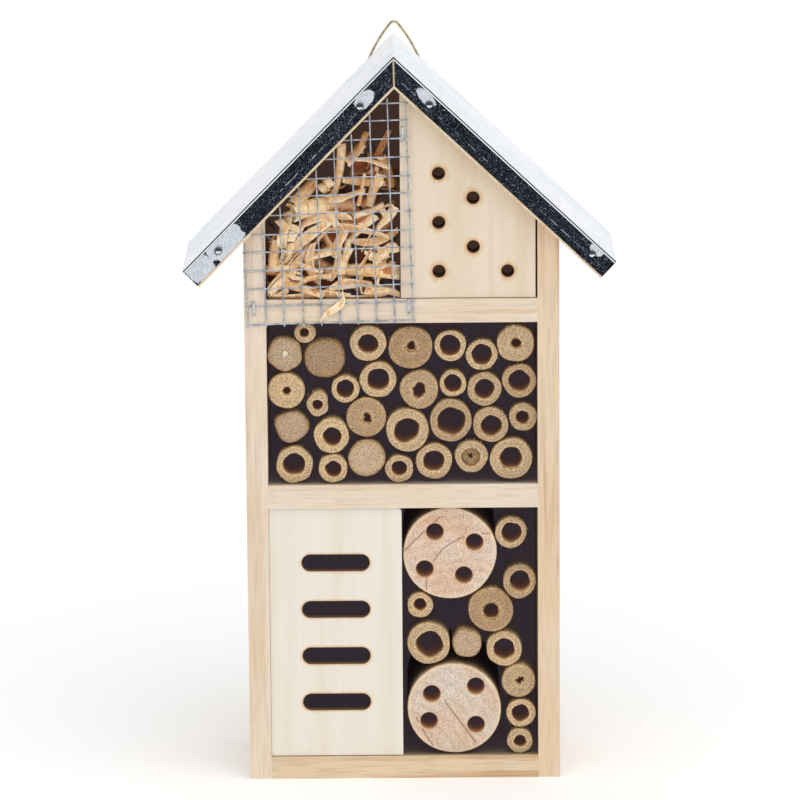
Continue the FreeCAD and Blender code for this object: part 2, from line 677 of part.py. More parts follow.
def canes():
    """Hollow canes, each a node, and the solid stems as one group."""
    stacked = [(CANE_CORNER, CANE_RULES, entry) for entry in CANE_STACK]
    stacked += [(SIDE_CORNER, SIDE_RULES, entry) for entry in SIDE_STACK]
    solid = []
    for number, (corner, rules, (across, up, outer, bore)) in enumerate(stacked, 1):
        x, z = stack_spot(corner, rules, across, up)
        body = stem(f"stem_{number:02d}", outer, "dims.cane_recess", x, z, rules[2])
        if bore == 0:
            solid.append(body)
            continue
        hollow = stem(f"bore_{number:02d}", bore, "dims.cane_recess", x, z, rules[2])
        tube = doc.addObject("Part::Cut", f"tube_{number:02d}")
        tube.Base = body
        tube.Tool = hollow
        finished(tube, f"cane_{number:02d}")
    finished(group("solid_group", solid), "solid_stems")


def logs():
    """Two round logs with blind holes bored from the front."""
    for label, (across, up, diameter) in LOG_STACK.items():
        x, z = stack_spot(SIDE_CORNER, SIDE_RULES, across, up)
        growth = SIDE_RULES[2]
        body = stem(f"{label}_body", diameter, "dims.log_recess", x, z, growth)
        front = f"({FRONT} + dims.log_recess)"
        depth = f"min(dims.log_hole_depth; {INSIDE_BACK} - {front} - dims.log_hole)"
        size = (f"dims.log_hole / 2 * {growth}", depth)
        bores = []
        for number, (right, above) in enumerate(LOG_HOLES[label], 1):
            hole_x = f"{x} + ({right}) * {growth}"
            hole_z = f"{z} + ({above}) * {growth}"
            name = f"{label}_bore_{number}"
            bores.append(rod(name, *size, hole_x, front, hole_z, ALONG_Y))
        bored = doc.addObject("Part::Cut", f"{label}_bored")
        bored.Base = body
        bored.Tool = group(f"{label}_bores", bores)
        finished(bored, label)


def wood_shavings():
    """The heap of shavings as one plain solid, higher towards the divider."""
    left = f"(-{INNER_HALF})"
    right = "(-dims.attic_split)"
    shoulder = "(-dims.ridge_offset)"
    headroom_left = f"({under_left(left)} - {UPPER_TOP})"
    headroom_right = f"({APEX} - {UPPER_TOP})"
    heap_left = f"{UPPER_TOP} + dims.shavings_left * {headroom_left}"
    heap_right = f"{UPPER_TOP} + dims.shavings_right * {headroom_right}"
    corners = [(left, UPPER_TOP), (right, UPPER_TOP), (right, heap_right), (shoulder, heap_right),
               (left, heap_left)]
    front = f"({FRONT} + dims.shavings_recess)"
    heap = board("heap", corners, f"{INSIDE_BACK} - {front}", f"({INSIDE_BACK} + {front}) / 2")
    drilled("wood_shavings", heap)


# ---- wire mesh ---------------------------------------------------------------------

def wire_mesh():
    """Welded grid, cut along the roof; the upright wires lie in front."""
    radius = "dims.wire_size / 2"
    level_y = f"{FRONT} - dims.wire_size / 2"
    upright_y = f"{level_y} - dims.wire_size + dims.wire_sink"
    wires = []
    start = "-dims.wire_end_left"
    height = f"({MESH_ROWS} + 1) * {MESH_PITCH}"
    for column in range(MESH_COLUMNS + 1):
        x = f"{column} * {MESH_PITCH}"
        wires.append(rod(f"upright_wire_{column}", radius, height, x, upright_y, start, UPRIGHT))
    length = f"{MESH_WIDTH} + dims.wire_end_left + dims.wire_end_right"
    for row in range(LEVEL_ROWS + 1):
        z = f"{row} * {MESH_PITCH}"
        wires.append(rod(f"level_wire_{row}", radius, length, start, level_y, z, ALONG_X))
    grid = doc.addObject("Part::MultiFuse", "grid")
    grid.Shapes = wires
    place(grid, MESH_X, 0, MESH_Z, MESH_TURN)
    left, right = f"(-{HALF_WIDTH})", HALF_WIDTH
    gap = "dims.mesh_roof_gap"
    low = f"{MESH_Z} - {MESH_PITCH}"
    apex = ridge_point(0)
    corners = [(left, low), (right, low), (right, f"{under_right(right)} - {gap}"),
               (apex[0], f"{apex[1]} - {gap}"), (left, f"{under_left(left)} - {gap}")]
    cutting_depth = "dims.wire_size * 4"
    window = board("mesh_window", corners, cutting_depth, f"{FRONT} - dims.wire_size")
    trimmed = doc.addObject("Part::Common", "mesh_trimmed")
    trimmed.Base = grid
    trimmed.Tool = window
    finished(trimmed, "wire_mesh")


# ---- roof ----------------------------------------------------------------------------

def roof_boards():
    """Two pine boards, mitred at the ridge, inside the turned-down edges of the sheet."""
    depth = f"{ROOF_DEPTH} - 2 * dims.sheet_thick"
    thick = "dims.roof_board_thick"
    for label, side in (("roof_board_left", LEFT), ("roof_board_right", RIGHT)):
        length = ROOF_LENGTH[side]
        corners = [ridge_point(0), ridge_point(thick), slope_point(side, length, thick),
                   slope_point(side, length, 0)]
        drilled(label, board(f"{label}_body", corners, depth, ROOF_MIDDLE))


def roof_band(top, bottom, extra):
    """Outline of a bent band over both slopes between two distances from the undersides."""
    left = f"{ROOF_LENGTH[LEFT]} + {extra}"
    right = f"{ROOF_LENGTH[RIGHT]} + {extra}"
    return [ridge_point(top), slope_point(RIGHT, right, top), slope_point(RIGHT, right, bottom),
            ridge_point(bottom), slope_point(LEFT, left, bottom), slope_point(LEFT, left, top)]


def roof_sheet():
    """One sheet folded over the ridge, its front and back edges turned down over the boards."""
    hem = f"{ROOF_TOP} - dims.flange_depth"
    body = board("sheet", roof_band(ROOF_TOP, hem, 0), ROOF_DEPTH, ROOF_MIDDLE)
    before = body.Shape.Volume
    inside = new_sketch(body, "under_sheet")
    clear = "dims.sheet_thick"
    draw_outline(inside, roof_band("dims.roof_board_thick", f"{hem} - {clear}", clear))
    hollow = body.newObject("PartDesign::Pocket", "hollow")
    hollow.Profile = inside
    hollow.Type = "Length"
    hollow.SideType = "Symmetric"
    hollow.setExpression("Length", f"{ROOF_DEPTH} - 2 * dims.sheet_thick")
    doc.recompute()
    if body.Shape.Volume >= before:
        raise RuntimeError("the sheet is not hollow")
    inside.Visibility = False
    slit = new_sketch(body, "ridge_slit")
    half = "dims.ridge_slit / 2"
    skin = f"{ridge_point('dims.roof_board_thick')[1]} - {half}"
    low = f"{ridge_point(hem)[1]} - dims.flange_depth"
    middle = ridge_point("dims.roof_board_thick / 2")[0]
    draw_outline(slit, box_corners(f"{middle} - {half}", f"{middle} + {half}", low, skin))
    cut_through(body, slit, "slit")
    slit.Visibility = False
    drilled("roof_sheet", body)


# ---- hanger -----------------------------------------------------------------------------

def hanger_strap():
    """Strap with a rolled knuckle at its top, screwed to the back panel."""
    plate = doc.addObject("Part::Box", "strap_plate")
    plate.setExpression("Length", "dims.strap_width")
    plate.setExpression("Width", "dims.strap_thick")
    plate.setExpression("Height", "dims.strap_drop")
    left = "-dims.ridge_offset - dims.strap_width / 2"
    place(plate, left, BACK, f"{RING_Z} - dims.strap_drop")
    axis = ("dims.strap_width", left, RING_Y, RING_Z, ALONG_X)
    knuckle = rod("knuckle", KNUCKLE_RADIUS, *axis)
    rolled = doc.addObject("Part::Fuse", "strap_rolled")
    rolled.Base = plate
    rolled.Tool = knuckle
    eye = rod("eye", "dims.ring_wire / 2 + dims.ring_fit", *axis)
    open_strap = doc.addObject("Part::Cut", "strap_open")
    open_strap.Base = rolled
    open_strap.Tool = eye
    drilled("hanger_strap", open_strap)


def hanger_ring():
    """Wire triangle: a straight foot, two small bends, bowed legs and a round crown.

    Each leg is a wide arc that touches the bend and the crown, so its centre lies
    where circles about those two meet.
    """
    foot, height = value("dims.ring_foot"), value("dims.ring_height")
    bend, crown, bow = value("dims.ring_bend"), value("dims.ring_crown"), value("dims.ring_bow")
    top = FreeCAD.Vector(0, 0, height - crown)

    def half(side):
        """Points of one half: foot end, bend, leg and the start of the crown."""
        corner = FreeCAD.Vector(side * foot, 0, bend)
        link = top - corner
        apart = link.Length
        to_corner, to_top = bow - bend, bow - crown
        along = (to_corner ** 2 - to_top ** 2 + apart ** 2) / (2 * apart)
        off = math.sqrt(to_corner ** 2 - along ** 2)
        across = FreeCAD.Vector(-side * link.z, 0, side * link.x) / apart
        centre = corner + link * (along / apart) + across * off
        leg_low = centre + (corner - centre).normalize() * bow
        leg_high = centre + (top - centre).normalize() * bow
        leg_middle = centre + ((leg_low + leg_high) / 2 - centre).normalize() * bow
        foot_end = FreeCAD.Vector(side * foot, 0, 0)
        low_way = (foot_end - corner).normalize() + (leg_low - corner).normalize()
        bend_middle = corner + low_way.normalize() * bend
        return foot_end, bend_middle, leg_low, leg_middle, leg_high

    right_foot, right_bend, right_low, right_leg, right_high = half(1)
    left_foot, left_bend, left_low, left_leg, left_high = half(-1)
    summit = FreeCAD.Vector(0, 0, height)
    edges = [Part.LineSegment(left_foot, right_foot), Part.Arc(right_foot, right_bend, right_low),
             Part.Arc(right_low, right_leg, right_high), Part.Arc(right_high, summit, left_high),
             Part.Arc(left_high, left_leg, left_low), Part.Arc(left_low, left_bend, left_foot)]
    path = Part.Wire([edge.toShape() for edge in edges])
    section = Part.Circle(left_foot, FreeCAD.Vector(1, 0, 0), value("dims.ring_wire") / 2).toShape()
    ring = doc.addObject("Part::Feature", "ring")
    ring.Shape = path.makePipeShell([Part.Wire([section])], True, True)
    place(ring, "-dims.ridge_offset", RING_Y, RING_Z)
    finished(ring, "hanger_ring")


left_side_board()
right_side_board()
level_boards()
back_panel()
dividers()
butterfly_panel()
drilled_panel()
canes()
logs()
wood_shavings()
wire_mesh()
roof_boards()
roof_sheet()
hanger_strap()
hanger_ring()
finished(brad_group, "frame_nails")
finished(nail_group, "roof_nails")
finished(staple_group, "mesh_staples")
finished(screw_group, "hanger_screws")
doc.recompute()

failed = [item.Name for item in doc.Objects if "Invalid" in item.State or "Error" in item.State]
broken = [item.Label for item in nodes if item.Shape.isNull() or not item.Shape.isValid()]
if failed or broken:
    raise RuntimeError(f"failed objects {failed}, broken shapes {broken}")

os.makedirs("parts", exist_ok=True)
for item in nodes:
    item.Shape.exportStep(f"parts/{item.Label}.step")
print(len(nodes), "sub-parts written")
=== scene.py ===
import json
import math
import random

import bpy
import numpy as np
from mathutils import Matrix, Vector, geometry, noise

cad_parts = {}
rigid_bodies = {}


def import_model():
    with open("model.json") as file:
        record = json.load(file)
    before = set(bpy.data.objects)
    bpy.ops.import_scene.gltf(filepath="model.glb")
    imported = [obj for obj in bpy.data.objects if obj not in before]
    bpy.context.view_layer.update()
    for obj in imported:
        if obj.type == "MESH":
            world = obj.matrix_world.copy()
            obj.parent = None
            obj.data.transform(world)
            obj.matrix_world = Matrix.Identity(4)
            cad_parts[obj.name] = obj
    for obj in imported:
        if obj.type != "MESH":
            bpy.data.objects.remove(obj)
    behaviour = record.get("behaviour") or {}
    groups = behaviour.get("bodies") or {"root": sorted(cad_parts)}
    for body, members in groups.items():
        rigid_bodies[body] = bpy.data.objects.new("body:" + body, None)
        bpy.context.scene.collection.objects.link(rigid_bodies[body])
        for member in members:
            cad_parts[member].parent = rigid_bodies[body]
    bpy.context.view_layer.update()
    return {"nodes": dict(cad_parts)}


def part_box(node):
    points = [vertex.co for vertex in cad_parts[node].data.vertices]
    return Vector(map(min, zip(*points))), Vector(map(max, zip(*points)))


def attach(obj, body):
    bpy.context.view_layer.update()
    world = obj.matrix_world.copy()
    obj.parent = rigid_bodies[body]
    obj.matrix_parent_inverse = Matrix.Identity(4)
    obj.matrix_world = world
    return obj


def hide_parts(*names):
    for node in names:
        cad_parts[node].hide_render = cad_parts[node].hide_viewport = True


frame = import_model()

# The frame is in metres.
MM = 0.001

# ---- Side boards ----------------------------------------------------------------
# Two upright boards of raw planed pine, the outer walls of the house. Their tops
# are bevelled to carry the roof boards, and brads hold the shelves between them.


def paint(red, green, blue):
    """A colour given as it looks, 0 to 255, as the linear colour that a shader takes."""
    levels = np.array((red, green, blue)) / 255
    linear = np.where(levels <= 0.04045, levels / 12.92, ((levels + 0.055) / 1.055) ** 2.4)
    return (*linear.tolist(), 1.0)


def add(tree, kind, inputs=None, **settings):
    """A node with its settings made and its inputs set or linked."""
    made = tree.nodes.new(kind)
    for key, setting in settings.items():
        setattr(made, key, setting)
    for key, given in (inputs or {}).items():
        if isinstance(given, bpy.types.NodeSocket):
            tree.links.new(given, made.inputs[key])
        else:
            made.inputs[key].default_value = given
    return made


def new_finish(name, roughness, metallic=0.0):
    """A finish with its own node tree, and the shader in it."""
    finish = bpy.data.materials.new(name)
    finish.use_nodes = True
    shader = finish.node_tree.nodes["Principled BSDF"]
    shader.inputs["Roughness"].default_value = roughness
    shader.inputs["Metallic"].default_value = metallic
    return finish, finish.node_tree, shader


def ramp(tree, factor, stops):
    """Colours along a factor, each stop a place and a colour."""
    made = add(tree, "ShaderNodeValToRGB", {"Fac": factor})
    band = made.color_ramp.elements
    band.remove(band[1])
    band[0].position, band[0].color = stops[0]
    for place, colour in stops[1:]:
        band.new(place).color = colour
    return made.outputs["Color"]


def grey(level):
    return (level, level, level, 1.0)


def greys(tree, factor, *stops):
    """Greys along a factor, each stop a place and a level."""
    return ramp(tree, factor, [(place, grey(level)) for place, level in stops])


def blend(tree, factor, first, second, way="MIX"):
    """One colour laid over another."""
    made = add(tree, "ShaderNodeMix", {0: factor, 6: first, 7: second}, data_type="RGBA", blend_type=way)
    return made.outputs[2]


def tint(tree, colour, shade, share=1.0):
    """A colour darkened or tinted by a shade, wholly or by a share."""
    return blend(tree, share, colour, shade, "MULTIPLY")


def own_place(tree):
    """Where a point of the object is, in the object's own frame."""
    return add(tree, "ShaderNodeTexCoord").outputs["Object"]


def cloud(tree, scale, stretch=(1, 1, 1), shift=(0, 0, 0), detail=3.0, wander=0.0, lean=0.0):
    """Noise in the object's own place, stretched by axis; `lean` keeps flat faces off its lattice."""
    inputs = {"Vector": own_place(tree), "Location": shift, "Rotation": (lean, 0, lean), "Scale": stretch}
    mapped = add(tree, "ShaderNodeMapping", inputs)
    inputs = {"Vector": mapped.outputs[0], "Scale": scale, "Detail": detail, "Distortion": wander}
    return add(tree, "ShaderNodeTexNoise", inputs).outputs["Fac"]


def raise_bumps(tree, shader, height, strength, distance):
    """Fine relief that is too small for the mesh."""
    inputs = {"Height": height, "Strength": strength, "Distance": distance}
    bumps = add(tree, "ShaderNodeBump", inputs)
    tree.links.new(bumps.outputs["Normal"], shader.inputs["Normal"])


def behind(tree, front, reach):
    """How far a point lies behind a front, as a share of a reach, kept from 0 to 1."""
    depth = add(tree, "ShaderNodeSeparateXYZ", {0: own_place(tree)}).outputs["Y"]
    return add(tree, "ShaderNodeMapRange", {"Value": depth, 1: front, 2: front + reach}).outputs[0]


def give_off(tree, shader, glimmer):
    """The little light of a deep place, given off by the finish itself."""
    tree.links.new(glimmer, shader.inputs["Emission Color"])
    shader.inputs["Emission Strength"].default_value = 1.0


def pine(name, axis, pale, deep, shift, streaks=0.35, front=None):
    """Planed pine: bands and pores drawn out along one axis, with painted shade and a faint painted glow
    behind a front edge.
    """
    finish, tree, shader = new_finish(name, 0.62)
    stretch = [1.0, 1.0, 1.0]
    stretch[axis] = 0.05
    broad = cloud(tree, 150, stretch, shift, 4, 0.6)
    fine = cloud(tree, 1700, stretch, shift, 3)
    colour = ramp(tree, broad, [(0.32, deep), (0.5, pale), (0.72, pale)])
    pores = greys(tree, fine, (0.36, 0.66), (0.52, 1.0))
    colour = tint(tree, colour, pores, streaks)
    patches = cloud(tree, 28, (1, 1, 1), shift, 2)
    warm = ramp(tree, patches, [(0.35, (1, 0.955, 0.89, 1)), (0.65, grey(1.0))])
    colour = tint(tree, colour, warm)
    if front is not None:
        # Painted shade that deepens behind the front edge, and a faint painted glow, for the dim rooms.
        share = behind(tree, front + 0.5 * MM, 8.5 * MM)
        painted_shade = greys(tree, share, (0.0, 1.0), (0.12, 0.55), (0.5, 0.28), (1.0, 0.16))
        colour = tint(tree, colour, painted_shade)
        give_off(tree, shader, ramp(tree, share, [(0.2, grey(0.0)), (0.9, paint(42, 35, 40))]))
    tree.links.new(colour, shader.inputs["Base Color"])
    raise_bumps(tree, shader, fine, 0.25, 0.15 * MM)
    return finish


def dress(node, finish):
    """Give a node of the frame its finish."""
    materials = frame["nodes"][node].data.materials
    materials.clear()
    materials.append(finish)


LENGTHWISE, UPWISE = 0, 2
dress("left_side_board", pine("pine_left", UPWISE, paint(229, 212, 192), paint(219, 196, 168), (0, 0, 0)))
dress("right_side_board", pine("pine_right", UPWISE, paint(226, 203, 175), paint(208, 174, 137), (3, 0, 1)))

# ---- Floor, shelves and dividers --------------------------------------------------
# Pine boards nailed between the side boards. The floor is a warmer board with short
# orange streaks, and the two thin dividers stand behind the front panels.

board_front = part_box("middle_shelf")[0][1]
# The shelves, the floor and the dividers get painted shade behind their front edge.
shelf_pine = pine("pine_shelves", LENGTHWISE, paint(229, 213, 193), paint(220, 195, 164), (1, 2, 0),
                  front=board_front)
dress("middle_shelf", shelf_pine)
dress("upper_shelf", shelf_pine)
floor_pine = pine("pine_floor", LENGTHWISE, paint(223, 202, 172), paint(201, 165, 124), (5, 1, 2),
                  streaks=0.5, front=board_front)
dress("floor_board", floor_pine)
divider_pine = pine("pine_dividers", UPWISE, paint(196, 172, 146), paint(170, 138, 106), (2, 2, 2),
                    front=board_front)
dress("lower_divider", divider_pine)
dress("attic_divider", divider_pine)

# ---- Back panel ---------------------------------------------------------------------
# A plain board let in between the side boards. Its inner face is painted dark as
# painted shade, with a faint painted glow, so the rooms look deep, and its outer face is bare wood.


def calculate(tree, way, first, second=0.0):
    return add(tree, "ShaderNodeMath", {0: first, 1: second}, operation=way).outputs[0]


def back_board():
    finish, tree, shader = new_finish("back_board", 0.75)
    grain = cloud(tree, 1300, (1, 1, 0.04), (4, 0, 0))
    figure = cloud(tree, 52, (1, 1, 0.09), (2, 0, 1), 2, 1.2)
    bands = calculate(tree, "SINE", calculate(tree, "MULTIPLY", figure, 46.0))
    woods = [(0.0, paint(222, 198, 166)), (0.75, paint(214, 187, 152)), (1.0, paint(200, 168, 128))]
    pores = greys(tree, grain, (0.36, 0.84), (0.52, 1.0))
    bare = tint(tree, ramp(tree, bands, woods), pores, 0.8)
    # Painted shade: a dark colour on the inner face, where the rooms are in shadow.
    stain_and_painted_shade = ramp(tree, grain, [(0.3, paint(58, 48, 54)), (0.7, paint(76, 64, 70))])
    outer = behind(tree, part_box("back_panel")[0][1] + 1 * MM, 0.4 * MM)
    tree.links.new(blend(tree, outer, stain_and_painted_shade, bare), shader.inputs["Base Color"])
    height = add(tree, "ShaderNodeSeparateXYZ", {0: own_place(tree)}).outputs["Z"]
    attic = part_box("upper_shelf")[1][2]
    up = add(tree, "ShaderNodeMapRange", {"Value": height, 1: attic - 2 * MM, 2: attic}).outputs[0]
    # A faint painted glow for the deep rooms, browner above the attic shelf.
    dusk = blend(tree, up, paint(44, 38, 44), paint(58, 42, 34))
    give_off(tree, shader, blend(tree, outer, dusk, grey(0.0)))
    raise_bumps(tree, shader, grain, 0.3, 0.15 * MM)
    return finish


dress("back_panel", back_board())

# ---- Butterfly panel ------------------------------------------------------------------
# A thin pale plywood board that closes the lower left room. Four slots with round
# ends are burned through it, which leaves their edges brown and a faint scorch.

# Half the straight run of a slot, its end radius, the pitch and the number of the last slot.
SLOT_REACH, SLOT_RADIUS, SLOT_PITCH, SLOT_LAST = 10.6 * MM, 3.6 * MM, 20 * MM, 3


def plywood(name, pale, deep, shift):
    """Pale plywood with faint upright grain, before any scorching."""
    finish, tree, shader = new_finish(name, 0.6)
    broad = cloud(tree, 110, (1, 1, 0.06), shift, 3, 0.8)
    fine = cloud(tree, 2200, (1, 1, 0.03), shift, 2)
    colour = ramp(tree, broad, [(0.3, deep), (0.6, pale)])
    pores = greys(tree, fine, (0.3, 0.8), (0.5, 1.0))
    colour = tint(tree, colour, pores, 0.18)
    raise_bumps(tree, shader, fine, 0.12, 0.1 * MM)
    return finish, tree, shader, colour


def scorch(tree, shader, colour, gap, spread, deep_wall):
    """Brown the wood near a burned edge; `gap` is the distance from it, in metres."""
    flicker = cloud(tree, 500, (1, 1, 0.4), (7, 1, 3), 2)
    reach = calculate(tree, "MULTIPLY", flicker, spread)
    share = calculate(tree, "DIVIDE", gap, reach)
    halo = ramp(tree, share, [(0.0, paint(214, 176, 134)), (0.22, paint(243, 220, 190)), (1.0, grey(1.0))])
    colour = tint(tree, colour, halo)
    wall = add(tree, "ShaderNodeMapRange", {"Value": gap, 1: 0.06 * MM, 2: 0.0})
    colour = blend(tree, wall.outputs[0], colour, deep_wall)
    tree.links.new(colour, shader.inputs["Base Color"])


def middle_of(node):
    """x and z of the middle of a node."""
    low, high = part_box(node)
    return (low[0] + high[0]) / 2, (low[2] + high[2]) / 2


def butterfly_board():
    pale, deep = paint(233, 226, 214), paint(228, 218, 201)
    finish, tree, shader, colour = plywood("butterfly_plywood", pale, deep, (0, 0, 4))
    middle_x, middle_z = middle_of("butterfly_panel")
    lowest = middle_z - SLOT_LAST * SLOT_PITCH / 2
    spot = add(tree, "ShaderNodeSeparateXYZ", {0: own_place(tree)})
    across = calculate(tree, "ABSOLUTE", calculate(tree, "SUBTRACT", spot.outputs["X"], middle_x))
    across = calculate(tree, "MAXIMUM", calculate(tree, "SUBTRACT", across, SLOT_REACH), 0.0)
    above = calculate(tree, "SUBTRACT", spot.outputs["Z"], lowest)
    rung = calculate(tree, "ROUND", calculate(tree, "DIVIDE", above, SLOT_PITCH))
    rung = calculate(tree, "MINIMUM", calculate(tree, "MAXIMUM", rung, 0.0), float(SLOT_LAST))
    above = calculate(tree, "SUBTRACT", above, calculate(tree, "MULTIPLY", rung, SLOT_PITCH))
    squares = [calculate(tree, "POWER", way, 2.0) for way in (across, above)]
    reach = calculate(tree, "SQRT", calculate(tree, "ADD", *squares))
    gap = calculate(tree, "SUBTRACT", reach, SLOT_RADIUS)
    scorch(tree, shader, colour, gap, 2.2 * MM, paint(120, 88, 70))
    return finish


dress("butterfly_panel", butterfly_board())

# ---- Drilled panel ------------------------------------------------------------------
# A thicker board in the right half of the attic with six bored holes, each with a
# brown burn round its mouth.

HOLE_RADIUS, HOLE_RISE = 2.65 * MM, 10.2 * MM
HOLE_LEFT, HOLE_RIGHT, HOLE_LOW = 15.8 * MM, 11.4 * MM, 11.1 * MM
# Column and row of each hole.
HOLE_PATTERN = ((0, 0), (0, 2), (0, 4), (1, 1), (1, 3), (2, 0))


def face_place(tree):
    """The object's own place with its depth left out."""
    spot = add(tree, "ShaderNodeSeparateXYZ", {0: own_place(tree)})
    return add(tree, "ShaderNodeCombineXYZ", {0: spot.outputs["X"], 2: spot.outputs["Z"]}).outputs[0]


def drilled_board():
    pale, deep = paint(229, 213, 191), paint(220, 200, 173)
    finish, tree, shader, colour = plywood("attic_plywood", pale, deep, (2, 0, 1))
    low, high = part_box("drilled_panel")
    spread = (high[0] - low[0] - HOLE_LEFT - HOLE_RIGHT) / 2
    flat = face_place(tree)
    nearest = 1.0
    for column, row in HOLE_PATTERN:
        centre = (low[0] + HOLE_LEFT + column * spread, 0, low[2] + HOLE_LOW + row * HOLE_RISE)
        reach = add(tree, "ShaderNodeVectorMath", {0: flat, 1: centre}, operation="DISTANCE")
        nearest = calculate(tree, "MINIMUM", reach.outputs["Value"], nearest)
    gap = calculate(tree, "SUBTRACT", nearest, HOLE_RADIUS)
    scorch(tree, shader, colour, gap, 4.2 * MM, paint(110, 78, 62))
    return finish


dress("drilled_panel", drilled_board())

# ---- Hollow canes -------------------------------------------------------------------
# Lengths of bamboo and reed, sawn across and glued to the back panel by their far
# ends. Each is a little out of round, with a fibrous cut face, a skin and a bore.

AROUND = 52
ANY_TURN = (0, 6.28)
# How far the canes' and stems' ends stand before or behind an even front, in millimetres.
CANE_JUT, STEM_JUT = (-1.4, 0.6), (-1.2, 0.4)
random.seed(11)


def plain(points):
    """Points as tuples of plain numbers."""
    return [tuple(float(number) for number in point) for point in points]


def mesh_piece(name, vertices, faces, finishes, finish_of_face=None, values=None):
    """A smooth mesh object with its finishes and named values on its points."""
    mesh = bpy.data.meshes.new(name)
    mesh.from_pydata(plain(vertices), [], faces)
    for finish in finishes:
        mesh.materials.append(finish)
    if finish_of_face is not None:
        mesh.polygons.foreach_set("material_index", finish_of_face)
    for key, numbers in (values or {}).items():
        kept = mesh.attributes.new(key, "FLOAT", "POINT")
        kept.data.foreach_set("value", [float(number) for number in numbers])
    mesh.polygons.foreach_set("use_smooth", [True] * len(mesh.polygons))
    mesh.validate()
    piece = bpy.data.objects.new(name, mesh)
    bpy.context.collection.objects.link(piece)
    return piece


def belongs(piece, slot, *nodes, body="house"):
    """Tie a piece to its body and to the nodes that it stands for; `slot` is not used."""
    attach(piece, body)
    if nodes:
        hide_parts(*nodes)


def stored(tree, key):
    """A named value of the points, as a finish reads it."""
    return add(tree, "ShaderNodeAttribute", attribute_name=key).outputs["Fac"]


def cut_cane(name, stops, speck_depth):
    """The sawn face: colours from the bore out to the skin, with dark fibre ends."""
    finish, tree, shader = new_finish(name, 0.85)
    wobble = cloud(tree, 700, detail=2)
    wobble = calculate(tree, "MULTIPLY", calculate(tree, "SUBTRACT", wobble, 0.5), 0.3)
    ring = calculate(tree, "ADD", stored(tree, "ring"), wobble)
    colour = ramp(tree, ring, stops)
    fibres = cloud(tree, 2500, (1, 0.3, 1), detail=3, lean=0.6)
    specks = ramp(tree, fibres, [(0.4, grey(speck_depth)), (0.5, grey(0.98)), (0.62, grey(1.25))])
    colour = tint(tree, colour, specks, 0.95)
    tones = [(0.0, paint(224, 212, 202)), (0.5, grey(0.95)), (1.0, (1.12, 1.1, 1.08, 1.0))]
    colour = tint(tree, colour, ramp(tree, stored(tree, "tone"), tones))
    tree.links.new(colour, shader.inputs["Base Color"])
    raise_bumps(tree, shader, fibres, 0.6, 0.3 * MM)
    return finish


cane_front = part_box("cane_20")[0][1]


def cane_skin():
    finish, tree, shader = new_finish("cane_skin", 0.42)
    streaks = cloud(tree, 1500, (1, 0.05, 1), detail=3)
    tans = [(0.3, paint(164, 128, 82)), (0.5, paint(200, 168, 122)), (0.7, paint(216, 188, 144))]
    # Painted shade: the skin darkens behind the mouth, where the canes shade each other, with a faint
    # painted glow.
    share = behind(tree, cane_front, 20 * MM)
    painted_depth_shade = greys(tree, share, (0.0, 1.0), (0.08, 0.8), (0.35, 0.22), (0.7, 0.1), (1.0, 0.06))
    colour = tint(tree, ramp(tree, streaks, tans), painted_depth_shade)
    dusk = [(0.05, grey(0.0)), (0.6, paint(40, 33, 37)), (1.0, paint(44, 37, 43))]
    give_off(tree, shader, ramp(tree, share, dusk))
    tree.links.new(colour, shader.inputs["Base Color"])
    raise_bumps(tree, shader, streaks, 0.3, 0.2 * MM)
    return finish


def bore_finish(name, roughness, span, browns, dusk, fleck_scale, fleck_stretch):
    """The wall of a hole with painted shade, browner and darker inwards over a span, and a faint painted
    glow, with flecks along it.
    """
    finish, tree, shader = new_finish(name, roughness)
    inwards = behind(tree, *span)
    flecks = cloud(tree, fleck_scale, (1, fleck_stretch, 1), detail=3)
    fleck_shade = greys(tree, flecks, (0.35, 0.6), (0.6, 1.0))
    colour = tint(tree, ramp(tree, inwards, browns), fleck_shade, 0.4)
    give_off(tree, shader, ramp(tree, inwards, dusk))
    tree.links.new(colour, shader.inputs["Base Color"])
    return finish, tree, shader, flecks


def cane_bore():
    # Browns from the mouth inwards, darker as painted shade.
    browns = [(0.0, paint(206, 164, 112)), (0.12, paint(150, 106, 68)), (0.6, paint(116, 82, 62)),
              (1.0, paint(96, 74, 66))]
    dusk = [(0.0, grey(0.0)), (0.3, paint(44, 30, 28)), (1.0, paint(46, 38, 43))]
    span = (cane_front, 22 * MM)
    finish, tree, shader, flecks = bore_finish("cane_bore", 0.7, span, browns, dusk, 1200, 0.2)
    raise_bumps(tree, shader, flecks, 0.4, 0.2 * MM)
    return finish


CANE_STOPS = [(0.0, paint(118, 80, 44)), (0.05, paint(176, 136, 88)), (0.13, paint(224, 199, 158)),
              (0.25, paint(205, 176, 138)), (0.75, paint(199, 170, 132)), (0.88, paint(216, 191, 152)),
              (0.96, paint(180, 146, 100)), (1.0, paint(118, 86, 52))]
cane_face = cut_cane("cane_face", CANE_STOPS, 0.42)
skin, bore_wall = cane_skin(), cane_bore()

# Rows of points from the far end round the mouth and back inside: how far out they
# lie between bore and skin, and their inset from the mouth, in millimetres.
AT_BACK = 54
SKIN_ROWS = [(1, AT_BACK), (1, 30), (1, 12), (1, 4), (1, 0.8), (0.985, 0.28), (0.945, 0.06)]
FACE_ROWS = [(0.8, 0), (0.62, 0), (0.45, 0), (0.28, 0), (0.12, 0.03), (0.03, 0.14)]
BORE_ROWS = [(0, 0.5), (0, 2), (0, 6), (0, 16), (0, AT_BACK)]
PITH_ROWS = (1.0, 0.8, 0.6, 0.42, 0.3)


